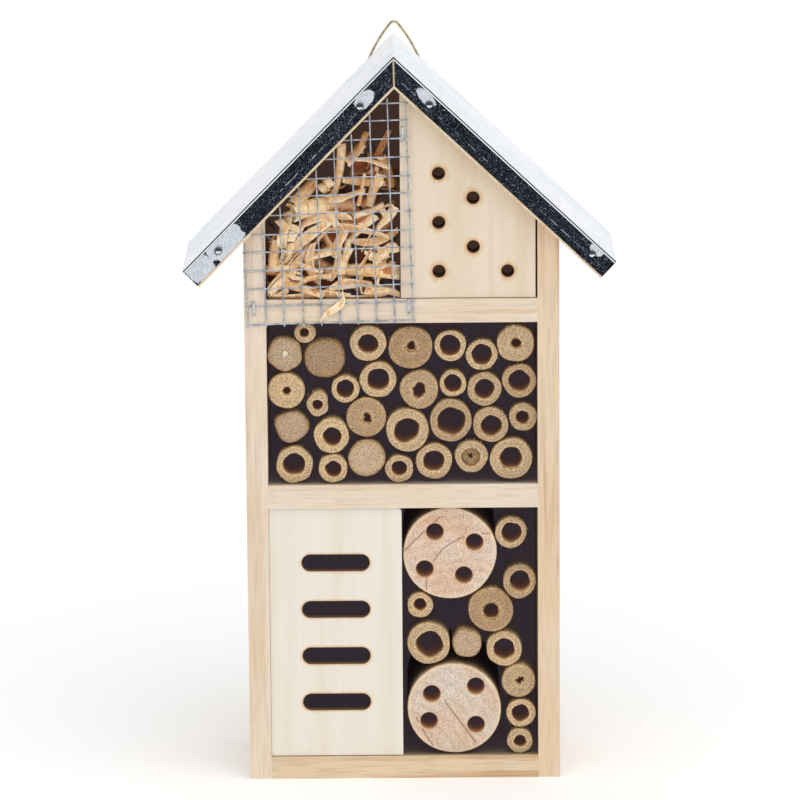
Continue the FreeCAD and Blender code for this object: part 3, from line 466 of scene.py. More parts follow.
def waves(strength):
    """A ring of radius factors, never more than 1, that is gently out of round."""
    turn = circle()
    factor = np.zeros(AROUND)
    for count in range(2, 7):
        factor += random.gauss(0, 1) / count * np.cos(count * turn + random.uniform(*ANY_TURN))
    factor *= strength / max(1e-6, np.abs(factor).max())
    return 1 + factor - factor.max()


def circle():
    """The angles of the points round a mouth."""
    return np.linspace(0, 2 * math.pi, AROUND, endpoint=False)


def ring_faces(rows, close):
    """Quads between rows of points; `close` joins the last row to the first."""
    faces = []
    for row in range(rows if close else rows - 1):
        here, there = row * AROUND, ((row + 1) % rows) * AROUND
        for step in range(AROUND):
            after = (step + 1) % AROUND
            faces.append((here + step, here + after, there + after, there + step))
    return faces


def join(name, pieces):
    """Several objects as one."""
    bpy.ops.object.select_all(action="DESELECT")
    for piece in pieces:
        piece.select_set(True)
    bpy.context.view_layer.objects.active = pieces[0]
    bpy.ops.object.join()
    pieces[0].name = name
    return pieces[0]


def thicken(vertices, faces, thickness):
    """The sheet and its other side, joined round the edges."""
    mesh = bpy.data.meshes.new("thin")
    mesh.from_pydata(plain(vertices), [], faces)
    mesh.update()
    normals = np.array([tuple(vertex.normal) for vertex in mesh.vertices])
    bpy.data.meshes.remove(mesh)
    points = np.array(vertices, float)
    count = len(points)
    both = np.concatenate([points + normals * thickness / 2, points - normals * thickness / 2])
    solid = list(faces) + [tuple(corner + count for corner in reversed(face)) for face in faces]
    seen = {}
    for face in faces:
        for first, second in zip(face, face[1:] + face[:1]):
            seen[(first, second)] = seen.get((first, second), 0) + 1
    for first, second in seen:
        if (second, first) not in seen:
            solid.append((second, first, first + count, second + count))
    return both.tolist(), solid


def pith_plug(x, z, radius, y):
    """Torn pith left across a bore, thicker on one side."""
    turn = circle()
    vertices, ring = [], []
    for share in PITH_ROWS:
        spots = [Vector((math.cos(angle) * 2.1, math.sin(angle) * 2.1, share * 5)) for angle in turn]
        torn = np.array([noise.noise(spot) for spot in spots])
        reach = radius * np.clip(share + 0.35 * torn * (1 - share), 0.1, 1.0)
        depth = y + (0.8 * torn - 0.6 * share) * MM
        vertices += list(zip(x + reach * np.cos(turn), depth, z + reach * np.sin(turn)))
        ring += [0.1 + 0.3 * share] * AROUND
    solid, closed = thicken(vertices, ring_faces(len(PITH_ROWS), False), 0.5 * MM)
    values = {"ring": ring * 2, "tone": [0.1] * len(solid)}
    return mesh_piece("pith", solid, closed, [cane_face], None, values)


def cane(node, roundness=0.03, fray=0.12, tilt=(0, 0), bore_shape=0.05, tone=None, plug=False):
    """One hollow cane in the space of its node."""
    low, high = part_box(node)
    centre = np.array(middle_of(node))
    outer = (high[0] - low[0]) / 2
    inner = outer * CANE_BORES[node]
    front, back = low[1] + random.uniform(*CANE_JUT) * MM, high[1]
    outline, hollow = waves(roundness) * outer, waves(bore_shape) * inner
    turn = circle()
    shift = np.array([random.uniform(-1, 1), random.uniform(-1, 1)]) * (outer - inner) * 0.12
    vertices, ring = [], []
    rows = SKIN_ROWS + FACE_ROWS + BORE_ROWS
    jitter = np.array([random.gauss(0, 1) for _ in range(AROUND)]) * fray * MM * 0.5
    for out, inset in rows:
        radius = hollow + (outline - hollow) * out
        x = centre[0] + shift[0] * (1 - out) + radius * np.cos(turn)
        z = centre[1] + shift[1] * (1 - out) + radius * np.sin(turn)
        y = front + inset * MM + tilt[0] * (x - centre[0]) + tilt[1] * (z - centre[1])
        if inset < 2:
            y = y + np.abs(jitter) * (1.0 if out > 0.9 or out < 0.1 else 0.35)
        if inset == AT_BACK:
            y = np.full(AROUND, back)
        vertices += list(zip(x, y, z))
        ring += [out] * AROUND
    faces = ring_faces(len(rows), True)
    last_skin, last_face = len(SKIN_ROWS) - 1, len(SKIN_ROWS) + len(FACE_ROWS) - 1
    zones = [0 if row < last_skin else 1 if row < last_face else 2 for row in range(len(rows))]
    finish_of_face = [zone for zone in zones for _ in range(AROUND)]
    own_tone = random.uniform(0.2, 1.0) if tone is None else tone
    values = {"ring": ring, "tone": [own_tone] * len(vertices)}
    piece = mesh_piece(f"{node}_cut", vertices, faces, [skin, cane_face, bore_wall], finish_of_face, values)
    if plug:
        pith = pith_plug(*(centre + shift), inner * 0.97, front + 3.2 * MM)
        piece = join(piece.name, [piece, pith])
    belongs(piece, "bamboo", node)


# Share of each cane's width that is bore.
CANE_BORES = {
    "cane_02": 0.44, "cane_04": 0.54, "cane_05": 0.24, "cane_06": 0.67, "cane_07": 0.66, "cane_08": 0.26,
    "cane_09": 0.21, "cane_10": 0.4, "cane_11": 0.64, "cane_12": 0.62, "cane_13": 0.4, "cane_14": 0.67,
    "cane_15": 0.58, "cane_16": 0.63, "cane_18": 0.53, "cane_19": 0.27, "cane_20": 0.6, "cane_21": 0.68,
    "cane_22": 0.59, "cane_23": 0.47, "cane_24": 0.59, "cane_25": 0.56, "cane_27": 0.55, "cane_28": 0.58,
    "cane_29": 0.56, "cane_30": 0.52, "cane_31": 0.64, "cane_32": 0.61, "cane_33": 0.35, "cane_34": 0.49,
    "cane_35": 0.62, "cane_37": 0.59, "cane_38": 0.27, "cane_39": 0.61, "cane_40": 0.48,
}
# What sets some canes apart: rounder or rougher, paler or darker, cut aslant.
CANE_TRAITS = {
    "cane_05": {"tone": 0.0, "bore_shape": 0.2}, "cane_10": {"roundness": 0.14, "tone": 0.5},
    "cane_13": {"bore_shape": 0.16}, "cane_19": {"tone": 0.15, "bore_shape": 0.3},
    "cane_24": {"roundness": 0.04}, "cane_20": {"bore_shape": 0.1, "fray": 0.3},
    "cane_31": {"tilt": (0.1, 0.12), "fray": 0.35}, "cane_32": {"tilt": (0, 0.28), "fray": 0.4},
    "cane_33": {"tone": 0.05, "tilt": (0.05, 0.1)}, "cane_38": {"tone": 0.4, "bore_shape": 0.35},
    "cane_29": {"tone": 0.6, "fray": 0.3, "plug": True},
}
for node in CANE_BORES:
    cane(node, **CANE_TRAITS.get(node, {}))

# ---- Solid stems ------------------------------------------------------------------
# Pithy twigs without a bore, cut to the same length as the canes. Their ends are
# even and soft-looking, and two have a rounded or a barky rim.

STEM_STOPS = [(0.0, paint(194, 168, 138)), (0.5, paint(196, 171, 141)), (0.88, paint(192, 164, 130)),
              (0.95, paint(176, 142, 100)), (1.0, paint(132, 98, 62))]
stem_face = cut_cane("stem_face", STEM_STOPS, 0.5)
PITH_STOPS = [(0.0, paint(236, 226, 208)), (0.13, paint(230, 216, 192)), (0.2, paint(176, 144, 104)),
              (0.26, paint(198, 172, 140)), *STEM_STOPS[1:]]
pith_face = cut_cane("pith_face", PITH_STOPS, 0.5)
# Place of each stem from the left edge and the underside of the stack, with its
# diameter, all in millimetres, then its tone and how much its end is rounded.
STEMS = [((7.5, 55), 15, 0.45, 0.3), ((24, 53), 18, 0.0, 0.6), ((10, 24), 15.5, 0.4, 1.8),
         ((41, 10.5), 16, 0.8, 0.25)]
SIDE_STEM = ((27, 48), 13, 0.6, 0.3)


def solid_stem(name, centre_x, centre_z, diameter, tone, rounded, ends, end=stem_face):
    """One stem as a closed round bar with a softened rim."""
    outline = waves(0.03 + 0.03 * rounded) * diameter / 2 * MM
    turn = circle()
    side_rows = [(1, AT_BACK), (1, 25), (1, 8), (1, 2.5 * rounded + 0.6)]
    end_rows = [(0.985, rounded + 0.2), (0.94, 0.35 * rounded + 0.05), (0.85, 0.1 * rounded),
                (0.65, 0), (0.45, 0), (0.22, 0)]
    rows = side_rows + end_rows
    vertices, ring = [], []
    front, back = ends[0] + random.uniform(*STEM_JUT) * MM, ends[1]
    for out, inset in rows:
        radius = outline * out
        y = back if inset == AT_BACK else front + inset * MM
        x, z = centre_x + radius * np.cos(turn), centre_z + radius * np.sin(turn)
        vertices += list(zip(x, np.full(AROUND, y), z))
        ring += [out] * AROUND
    vertices += [(centre_x, front, centre_z), (centre_x, back, centre_z)]
    ring += [0, 1]
    faces = ring_faces(len(rows), False)
    zones = [0 if row < len(side_rows) else 1 for row in range(len(rows) - 1) for _ in range(AROUND)]
    last, tip = (len(rows) - 1) * AROUND, len(vertices) - 2
    for step in range(AROUND):
        after = (step + 1) % AROUND
        faces += [(last + step, last + after, tip), (after, step, tip + 1)]
        zones += [1, 0]
    values = {"ring": ring, "tone": [tone] * len(vertices)}
    return mesh_piece(name, vertices, faces, [skin, end], zones, values)


def solid_stems():
    left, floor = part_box("middle_shelf")[0][0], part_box("middle_shelf")[1][2]
    ends = (cane_front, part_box("cane_20")[1][1])
    made = []
    for number, ((across, up), diameter, tone, rounded) in enumerate(STEMS):
        place = (left + across * MM, floor + up * MM)
        end = pith_face if number == 0 else stem_face
        made.append(solid_stem(f"stem_{number}", *place, diameter, tone, rounded, ends, end))
    (across, up), diameter, tone, rounded = SIDE_STEM
    place = (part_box("lower_divider")[1][0] + across * MM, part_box("floor_board")[1][2] + up * MM)
    made.append(solid_stem("stem_side", *place, diameter, tone, rounded, ends))
    belongs(join("stems_cut", made), "stem_wood", "solid_stems")


solid_stems()

# ---- Frayed fibres ------------------------------------------------------------------
# Short loose fibres that the saw has left round the mouths of the canes, most of them
# along the upper rims. They are part of the canes' skin.


def new_tree(name, inputs):
    """A geometry tree with named inputs; returns it with its input and output nodes."""
    tree = bpy.data.node_groups.new(name, "GeometryNodeTree")
    tree.interface.new_socket("Geometry", in_out="INPUT", socket_type="NodeSocketGeometry")
    for label, kind in inputs.items():
        tree.interface.new_socket(label, in_out="INPUT", socket_type=kind)
    tree.interface.new_socket("Geometry", in_out="OUTPUT", socket_type="NodeSocketGeometry")
    return tree, tree.nodes.new("NodeGroupInput"), tree.nodes.new("NodeGroupOutput")


def finish_off(tree, given, last, result):
    """Make a tree's copies real and give them the finish that the tree is given."""
    real = add(tree, "GeometryNodeRealizeInstances", {0: last.outputs[0]})
    inputs = {"Geometry": real.outputs[0], "Material": given.outputs["Finish"]}
    finished = add(tree, "GeometryNodeSetMaterial", inputs)
    tree.links.new(finished.outputs[0], result.inputs[0])


def grow(name, source, tree, values):
    """Run a tree on an object, keep the result as a plain mesh and drop the source."""
    modifier = source.modifiers.new("grow", "NODES")
    modifier.node_group = tree
    for item in tree.interface.items_tree:
        if item.in_out == "INPUT" and item.name in values:
            modifier[item.identifier] = values[item.name]
    depsgraph = bpy.context.evaluated_depsgraph_get()
    grown = source.evaluated_get(depsgraph)
    mesh = bpy.data.meshes.new_from_object(grown, preserve_all_data_layers=True, depsgraph=depsgraph)
    mesh.name = name
    mesh.polygons.foreach_set("use_smooth", [True] * len(mesh.polygons))
    piece = bpy.data.objects.new(name, mesh)
    bpy.context.collection.objects.link(piece)
    bpy.data.objects.remove(source)
    return piece


def scatter_tree():
    """Set copies of a collection's shapes on points that carry their turn and size."""
    inputs = {"Shapes": "NodeSocketCollection", "Finish": "NodeSocketMaterial"}
    tree, given, result = new_tree("scatter", inputs)
    shapes = add(tree, "GeometryNodeCollectionInfo", {
        "Collection": given.outputs["Shapes"], "Separate Children": True, "Reset Children": True})
    which = add(tree, "GeometryNodeInputNamedAttribute", {"Name": "which"}, data_type="INT")
    turn = add(tree, "GeometryNodeInputNamedAttribute", {"Name": "turn"}, data_type="FLOAT_VECTOR")
    size = add(tree, "GeometryNodeInputNamedAttribute", {"Name": "size"}, data_type="FLOAT_VECTOR")
    rotation = add(tree, "FunctionNodeEulerToRotation", {0: turn.outputs[0]})
    points = add(tree, "GeometryNodeMeshToPoints", {"Mesh": given.outputs["Geometry"]})
    copies = add(tree, "GeometryNodeInstanceOnPoints", {
        "Points": points.outputs[0], "Instance": shapes.outputs[0], "Pick Instance": True,
        "Instance Index": which.outputs[0], "Rotation": rotation.outputs[0], "Scale": size.outputs[0]})
    finish_off(tree, given, copies, result)
    return tree


scatter = scatter_tree()


def scattered(name, shapes, spots, finish):
    """One mesh of copies. A shape is its points and faces, with edge values if it has any.
    A spot is which shape, its place, turn and size, and a tone."""
    shelf = bpy.data.collections.new(f"{name}_shapes")
    for number, (vertices, faces, *edge) in enumerate(shapes):
        mesh = bpy.data.meshes.new(f"{name}_{number:02d}")
        mesh.from_pydata(plain(vertices), [], faces)
        if edge:
            mesh.attributes.new("edge", "FLOAT", "POINT").data.foreach_set("value", edge[0])
        shelf.objects.link(bpy.data.objects.new(f"{name}_{number:02d}", mesh))
    points = bpy.data.meshes.new(f"{name}_points")
    points.from_pydata([spot[1] for spot in spots], [], [])
    carried = (("which", "INT", 0), ("turn", "FLOAT_VECTOR", 2), ("size", "FLOAT_VECTOR", 3),
               ("tone", "FLOAT", 4))
    for key, kind, place in carried:
        values = points.attributes.new(key, kind, "POINT")
        flat = np.array([spot[place] for spot in spots]).reshape(-1)
        values.data.foreach_set("vector" if kind == "FLOAT_VECTOR" else "value", flat)
    source = bpy.data.objects.new(f"{name}_source", points)
    bpy.context.collection.objects.link(source)
    piece = grow(name, source, scatter, {"Shapes": shelf, "Finish": finish})
    for shape in list(shelf.objects):
        bpy.data.objects.remove(shape)
    bpy.data.collections.remove(shelf)
    return piece


# A strand as a thin spike that starts on three points and ends on one, in millimetres.
STRAND = [(0, 0.09, 0), (0, -0.05, 0.08), (0, -0.05, -0.08), (0.7, 0.07, 0.1), (0.7, -0.05, 0.16),
          (0.7, -0.05, 0.02), (1.4, 0, 0.3)]
STRAND_FACES = [(0, 2, 1), (0, 1, 4, 3), (1, 2, 5, 4), (2, 0, 3, 5), (3, 4, 6), (4, 5, 6), (5, 3, 6)]


def fibre_ends():
    draw = random.Random(23)
    spots = []
    for node in CANE_BORES:
        low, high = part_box(node)
        outer = (high[0] - low[0]) / 2
        middle_x, middle_z = middle_of(node)
        count = 34 if CANE_TRAITS.get(node, {}).get("fray") else draw.randint(5, 14)
        for _ in range(count):
            turn = draw.gauss(math.pi / 2, 0.9) if draw.random() < 0.75 else draw.uniform(0, 2 * math.pi)
            reach = outer * draw.uniform(0.93, 0.98)
            y = low[1] + draw.uniform(-0.6, 0.6) * MM
            place = (middle_x + reach * math.cos(turn), y, middle_z + reach * math.sin(turn))
            lean = (draw.uniform(*ANY_TURN), -turn + draw.gauss(0, 0.5), draw.uniform(-0.9, -0.1))
            size = draw.uniform(0.5, 1.1)
            sizes = (size * draw.uniform(0.5, 1.2), size, size)
            spots.append((0, place, lean, sizes, draw.uniform(0.3, 1.0)))
    finish, tree, shader = new_finish("cane_fibre", 0.8)
    colour = ramp(tree, stored(tree, "tone"), [(0.2, paint(150, 116, 72)), (1.0, paint(232, 206, 160))])
    tree.links.new(colour, shader.inputs["Base Color"])
    strand = [tuple(number * MM for number in point) for point in STRAND]
    belongs(scattered("cane_fibres", [(strand, STRAND_FACES)], spots, finish), "bamboo")


fibre_ends()

# ---- Drilled logs -----------------------------------------------------------------
# Two peeled rounds with four holes bored into the end of each. The sawn ends are
# pinkish and speckled, with faint rings, a pale rim and a few drying cracks.

LOG_HOLE, LOG_HOLE_DEPTH = 3.65 * MM, 45 * MM
LOG_HOLES = {"drilled_log_upper": [(-6.2, 9.1), (10.3, 4.6), (-10.5, -6.8), (5.8, -9.5)],
             "drilled_log_lower": [(-9.4, 6.3), (9.1, 9.5), (-10.6, -5.4), (9.1, -7.2)]}
# Each crack is a chain of points from the log's centre, in millimetres.
LOG_CRACKS = {
    "drilled_log_upper": [
        [(-6.6, -3.2), (-3.2, 1.6), (0.8, 4.4), (5.6, 6.8)], [(14, 8.2), (18.3, 8.5)],
        [(-18.6, 1.6), (-12.5, 7.4), (-8.6, 11.4), (-4, 15.4)], [(-9.8, -11.2), (-9.9, -15.6)]],
    "drilled_log_lower": [
        [(-15.8, -4.2), (-12.4, -11), (-8.9, -16.4)], [(-4, 3), (3.2, -7), (9, -15)]]}
CRACK_HALF, CRACK_DEPTH, CRACK_STEP, GRAIN_STEP = 0.32, 0.3 * MM, 0.5, 1.3
LOG_LIP, LIP_ROUND = 0.3 * MM, 0.09 * MM
# The middle of the growth rings, outside the log, from its centre in millimetres.
LOG_PITH = {"drilled_log_upper": (4, -46), "drilled_log_lower": (-30, -34)}


def log_end(name, pith, place_shift, deep, pale):
    """Sawn end grain: wide rings about a pith outside the log, pores and cracks."""
    finish, tree, shader = new_finish(name, 0.8)
    away = add(tree, "ShaderNodeVectorMath", {0: face_place(tree), 1: pith}, operation="DISTANCE")
    wobble = calculate(tree, "MULTIPLY", cloud(tree, 34, detail=2), 7 * MM)
    away = calculate(tree, "ADD", away.outputs["Value"], wobble)
    bands = calculate(tree, "SINE", calculate(tree, "MULTIPLY", away, 2 * math.pi / (4.4 * MM)))
    bands = calculate(tree, "ADD", calculate(tree, "MULTIPLY", bands, 0.5), 0.5)
    rings = ramp(tree, bands, [(0.0, deep), (0.7, pale)])
    pores = cloud(tree, 2600, detail=3)
    specks = greys(tree, pores, (0.36, 0.55), (0.46, 0.98), (0.62, 1.16))
    colour = tint(tree, rings, specks, 0.95)
    blush = cloud(tree, 60, shift=(place_shift, 0, 0), detail=3)
    stain_and_painted_shade = ramp(tree, blush, [(0.35, grey(1.0)), (0.7, paint(250, 226, 205))])
    colour = tint(tree, colour, stain_and_painted_shade)
    rim = greys(tree, stored(tree, "ring"), (0.9, 0.0), (0.97, 1.0))
    colour = blend(tree, calculate(tree, "MULTIPLY", rim, 0.75), colour, paint(233, 213, 186))
    fine = cloud(tree, 1300, (1, 1, 0.35), detail=4, wander=1.5)
    fine = greys(tree, fine, (0.4, 0.8), (0.5, 1.0), (0.6, 1.08))
    colour = tint(tree, colour, fine, 0.5)
    colour = blend(tree, stored(tree, "crack"), colour, paint(150, 92, 64))
    tree.links.new(colour, shader.inputs["Base Color"])
    raise_bumps(tree, shader, pores, 0.45, 0.2 * MM)
    return finish


log_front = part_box("drilled_log_upper")[0][1]


def log_side():
    finish, tree, shader = new_finish("log_side", 0.65)
    streaks = cloud(tree, 900, (1, 0.06, 1), detail=3)
    colour = ramp(tree, streaks, [(0.3, paint(184, 148, 108)), (0.6, paint(214, 184, 144))])
    # Painted shade: the side darkens behind the sawn end, where the room is in shadow.
    share = behind(tree, log_front, 24 * MM)
    painted_depth_shade = greys(tree, share, (0.0, 1.0), (0.1, 0.62), (0.4, 0.25), (1.0, 0.08))
    colour = tint(tree, colour, painted_depth_shade)
    tree.links.new(colour, shader.inputs["Base Color"])
    raise_bumps(tree, shader, streaks, 0.3, 0.2 * MM)
    return finish


def log_bore():
    # Browns from the mouth inwards, darker as painted shade.
    browns = [(0.0, paint(216, 180, 136)), (0.2, paint(196, 146, 98)), (0.6, paint(160, 112, 78)),
              (1.0, paint(104, 80, 72))]
    dusk = [(0.0, grey(0.0)), (0.4, paint(44, 31, 28)), (1.0, paint(46, 38, 43))]
    return bore_finish("log_bore", 0.75, (log_front, 16 * MM), browns, dusk, 1500, 0.3)[0]


def along_chain(chain, spacing):
    """Even points along a chain of straight runs, with the direction at each."""
    points = []
    for start, end in zip(chain, chain[1:]):
        start, end = np.array(start, float), np.array(end, float)
        length = np.linalg.norm(end - start)
        direction = (end - start) / length
        for step in range(int(length / spacing) + 1):
            points.append((start + direction * min(length, step * spacing), direction))
    return points


def grain_points(node, radius, holes):
    """Points over a log's end, clear of its rim and holes, each with 1 in a crack's bottom or 0."""
    points, sunk = [], []
    for chain in LOG_CRACKS[node]:
        for point, direction in along_chain(chain, CRACK_STEP):
            side = np.array([-direction[1], direction[0]]) * (CRACK_HALF + random.uniform(-0.06, 0.1))
            points += [point * MM, (point + side) * MM, (point - side) * MM]
            sunk += [1, 0, 0]
    in_cracks = list(points)
    count = int(radius / MM / GRAIN_STEP) + 1
    for row in range(-count, count + 1):
        for column in range(-count, count + 1):
            spot = np.array([column + 0.5 * (row % 2), row * 0.87]) * GRAIN_STEP * MM
            if all(np.linalg.norm(spot - other) > 0.6 * MM for other in in_cracks):
                points.append(spot)
                sunk.append(0)
    kept = []
    for spot, depth in zip(points, sunk):
        clear_of_rim = np.linalg.norm(spot) < radius * 0.97 - LOG_LIP
        clear_of_holes = all(np.linalg.norm(spot - hole) > LOG_HOLE + LOG_LIP + 0.5 * MM for hole in holes)
        if clear_of_rim and clear_of_holes:
            kept.append((spot, depth))
    return kept


def drilled_log(node, finishes):
    """A log as one closed mesh: a finely divided end, bored holes, a side and a back."""
    low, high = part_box(node)
    centre = middle_of(node)
    radius, front, back = (high[0] - low[0]) / 2, low[1], high[1]
    spokes = np.stack([np.cos(circle()), np.sin(circle())], 1)
    outline = waves(0.012) * radius
    holes = [np.array(hole) * MM for hole in LOG_HOLES[node]]
    loops = [spokes * (outline - LOG_LIP)[:, None]]
    loops += [spokes * (LOG_HOLE + LOG_LIP) + hole for hole in holes]
    grain = grain_points(node, radius, holes)
    flat = np.concatenate(loops + [np.array([spot for spot, _ in grain])])
    edges = [(number * AROUND + step, number * AROUND + (step + 1) % AROUND)
             for number in range(len(loops)) for step in range(AROUND)]
    divided = geometry.delaunay_2d_cdt([Vector(point / MM) for point in flat], edges, [], 1, 1e-6)
    points, triangles, origins = divided[0], divided[2], divided[3]
    loop_points = len(loops) * AROUND
    vertices, ring, cracks, loop_of, place_of = [], [], [], [], {}
    for number, (point, sources) in enumerate(zip(points, origins)):
        spot, first = np.array(point) * MM, sources[0]
        on_loop = first < loop_points
        crack = 0 if on_loop else grain[first - loop_points][1]
        vertices.append((centre[0] + spot[0], front + CRACK_DEPTH * crack, centre[1] + spot[1]))
        ring.append(np.linalg.norm(spot) / radius)
        cracks.append(crack)
        loop_of.append(first // AROUND if on_loop else None)
        place_of.update({source: number for source in sources})
    faces, zones = [], []
    for corners in triangles:
        loops_met = {loop_of[corner] for corner in corners}
        if len(loops_met) > 1 or loops_met <= {0, None}:
            faces.append(tuple(corners))
            zones.append(0)

    def wall(loop_number, rows, zone, outward):
        """Rows of points from a loop of the end, closed by a fan."""
        previous = [place_of[loop_number * AROUND + step] for step in range(AROUND)]
        for row_points, y in rows:
            here = list(range(len(vertices), len(vertices) + AROUND))
            vertices.extend((centre[0] + x, y, centre[1] + z) for x, z in row_points)
            ring.extend([1.0 if outward else 0.5] * AROUND)
            cracks.extend([0] * AROUND)
            for step in range(AROUND):
                after = (step + 1) % AROUND
                quad = (previous[step], previous[after], here[after], here[step])
                faces.append(tuple(reversed(quad)) if outward else quad)
                zones.append(zone)
            previous = here
        middle = np.mean([np.array(vertices[number]) for number in previous], 0)
        vertices.append(tuple(middle))
        ring.append(1.0)
        cracks.append(0)
        for step in range(AROUND):
            after = (step + 1) % AROUND
            fan = (previous[step], previous[after], len(vertices) - 1)
            faces.append(tuple(reversed(fan)) if outward else fan)
            zones.append(zone)

    side_rows = [(spokes * (outline - LIP_ROUND)[:, None], front + 0.07 * MM)]
    side_ends = (front + 0.3 * MM, front + 4 * MM, front + 20 * MM, back)
    side_rows += [(spokes * outline[:, None], y) for y in side_ends]
    wall(0, side_rows, 1, True)
    for number, hole in enumerate(holes, 1):
        rows = [(spokes * (LOG_HOLE + LIP_ROUND) + hole, front + 0.07 * MM)]
        insets = (0.35 * MM, 3 * MM, 12 * MM, LOG_HOLE_DEPTH)
        rows += [(spokes * LOG_HOLE + hole, front + inset) for inset in insets]
        wall(number, rows, 2, False)
    values = {"ring": ring, "crack": cracks}
    piece = mesh_piece(f"{node}_sawn", vertices, faces, finishes, zones, values)
    belongs(piece, "log_wood", node)


log_side_finish, log_bore_finish = log_side(), log_bore()
LOG_COLOURS = {"drilled_log_upper": (paint(217, 196, 178), paint(224, 206, 190)),
               "drilled_log_lower": (paint(212, 198, 182), paint(220, 207, 193))}
for number, (node, pith) in enumerate(LOG_PITH.items()):
    middle_x, middle_z = middle_of(node)
    pith_place = (middle_x + pith[0] * MM, 0, middle_z + pith[1] * MM)
    sawn = log_end(f"{node}_end", pith_place, number * 3.0, *LOG_COLOURS[node])
    drilled_log(node, [sawn, log_side_finish, log_bore_finish])

# ---- Wood shavings ------------------------------------------------------------------
# A loose heap of plane shavings behind the mesh: rolled tubes, curled ribbons and
# flat strips, cream to orange-brown, with painted highlights on their torn edges and
# painted shade in their folds and deep in the heap. One strip hangs out over the upper shelf.


def grid_faces(rows, columns, start=0):
    """Quads over a grid of points, row by row."""
    corners = [start + row * columns + column for row in range(rows - 1) for column in range(columns - 1)]
    return [(corner, corner + 1, corner + columns + 1, corner + columns) for corner in corners]


LENGTHS = {"roll": 20 * MM, "curl": 5 * MM, "flake": 14 * MM, "sliver": 20 * MM, "ribbon": 15 * MM}
ROLL_RADIUS, CURL_RADIUS, FLAKE_RADIUS, SHAVING_THICK = 2 * MM, 3 * MM, 5.2 * MM, 0.17 * MM
# Points along and around each kind, and whether its first side is the inner one.
SHAVING_GRIDS = {"roll": (11, 26, False), "curl": (22, 5, True), "flake": (11, 11, False),
                 "sliver": (13, 5, False), "ribbon": (18, 5, False)}


def shaving(kind, seed):
    """One shaving about its own middle, lengthwise on X, with edge values for painted light: 1 on torn edges
    for a painted highlight, below 0 inside a curl for painted shade.
    """
    draw = random.Random(seed)
    turns, taper, bow = draw.uniform(1.0, 1.7), draw.uniform(-0.4, 0.4), draw.uniform(-1.4, 1.4) * MM
    twist, phase, torn = draw.uniform(-0.9, 0.9), draw.uniform(*ANY_TURN), draw.uniform(0.3, 0.9) * MM

    def tear(share, end):
        return torn * noise.noise(Vector((share * 17, seed * 3.7, end * 9.0)))

    def roll(along, around):
        angle = (around - 0.5) * turns * 2 * math.pi + phase
        spiral = ROLL_RADIUS * (0.8 + 0.36 * around) * (1 + taper * (along - 0.5))
        x = (along - 0.5) * LENGTHS["roll"] + (tear(around, along) if along in (0, 1) else 0)
        if around == 1:
            angle += 0.35 * noise.noise(Vector((along * 9, seed, 4)))
        rise = bow * (1 - (2 * along - 1) ** 2)
        return (x, spiral * math.cos(angle), spiral * math.sin(angle) + rise)

    def curl(along, around):
        angle = (along - 0.5) * turns * 2 * math.pi
        bend = CURL_RADIUS * (0.72 + 0.5 * along)
        side = (around - 0.5) * 3.4 * MM + (tear(along, around) * 0.6 if around in (0, 1) else 0)
        return (side + (along - 0.5) * 5.5 * MM, bend * math.cos(angle), bend * math.sin(angle))

    def flake(along, around):
        x = (along - 0.5) * LENGTHS["flake"] + (tear(around, along) * 1.5 if along in (0, 1) else 0)
        angle = (around - 0.5) * (1.5 + turns * 0.8) + twist * (along - 0.5)
        rise = (tear(along, around) if around in (0, 1) else 0) + 0.8 * MM * math.sin(along * 5 + phase)
        y = FLAKE_RADIUS * (math.cos(angle) - 1) + rise * 0.4
        return (x, y, FLAKE_RADIUS * math.sin(angle) + rise * 0.6)

    def sliver(along, around):
        x = (along - 0.5) * LENGTHS["sliver"] + (tear(around, along) if along in (0, 1) else 0)
        lean = twist * 1.6 * (along - 0.5)
        narrow = 0.55 + 0.45 * math.sin(0.3 + along * 2.6)
        side = (around - 0.5) * 2.8 * MM * narrow
        arch = bow * 1.6 * (1 - (2 * along - 1) ** 2)
        return (x, side * math.sin(lean) + (around - 0.5) ** 2 * MM, side * math.cos(lean) + arch)

    def ribbon(along, around):
        lean = 2.6 * (along - 0.3)
        side = (around - 0.5) * 3.2 * MM * math.sin(0.2 + along * 2.8)
        sag = 2.4 * MM * math.cos(along * 4.2)
        x = (along - 0.5) * LENGTHS["ribbon"]
        return (x, side * math.sin(lean) + sag * 0.4, side * math.cos(lean) + sag)

    place = {"roll": roll, "curl": curl, "flake": flake, "sliver": sliver, "ribbon": ribbon}[kind]
    rows, columns, inner_first = SHAVING_GRIDS[kind]
    spots = [(row, column) for row in range(rows) for column in range(columns)]
    vertices = [place(row / (rows - 1), column / (columns - 1)) for row, column in spots]
    on_edge = [row in (0, rows - 1) or column in (0, columns - 1) for row, column in spots]
    inner = -1.0 if kind in ("roll", "curl", "flake") else -0.4
    sides = (inner, 0.0) if inner_first else (0.0, inner)
    edge = [1.0 if outermost else side for side in sides for outermost in on_edge]
    return (*thicken(vertices, grid_faces(rows, columns), SHAVING_THICK), edge)


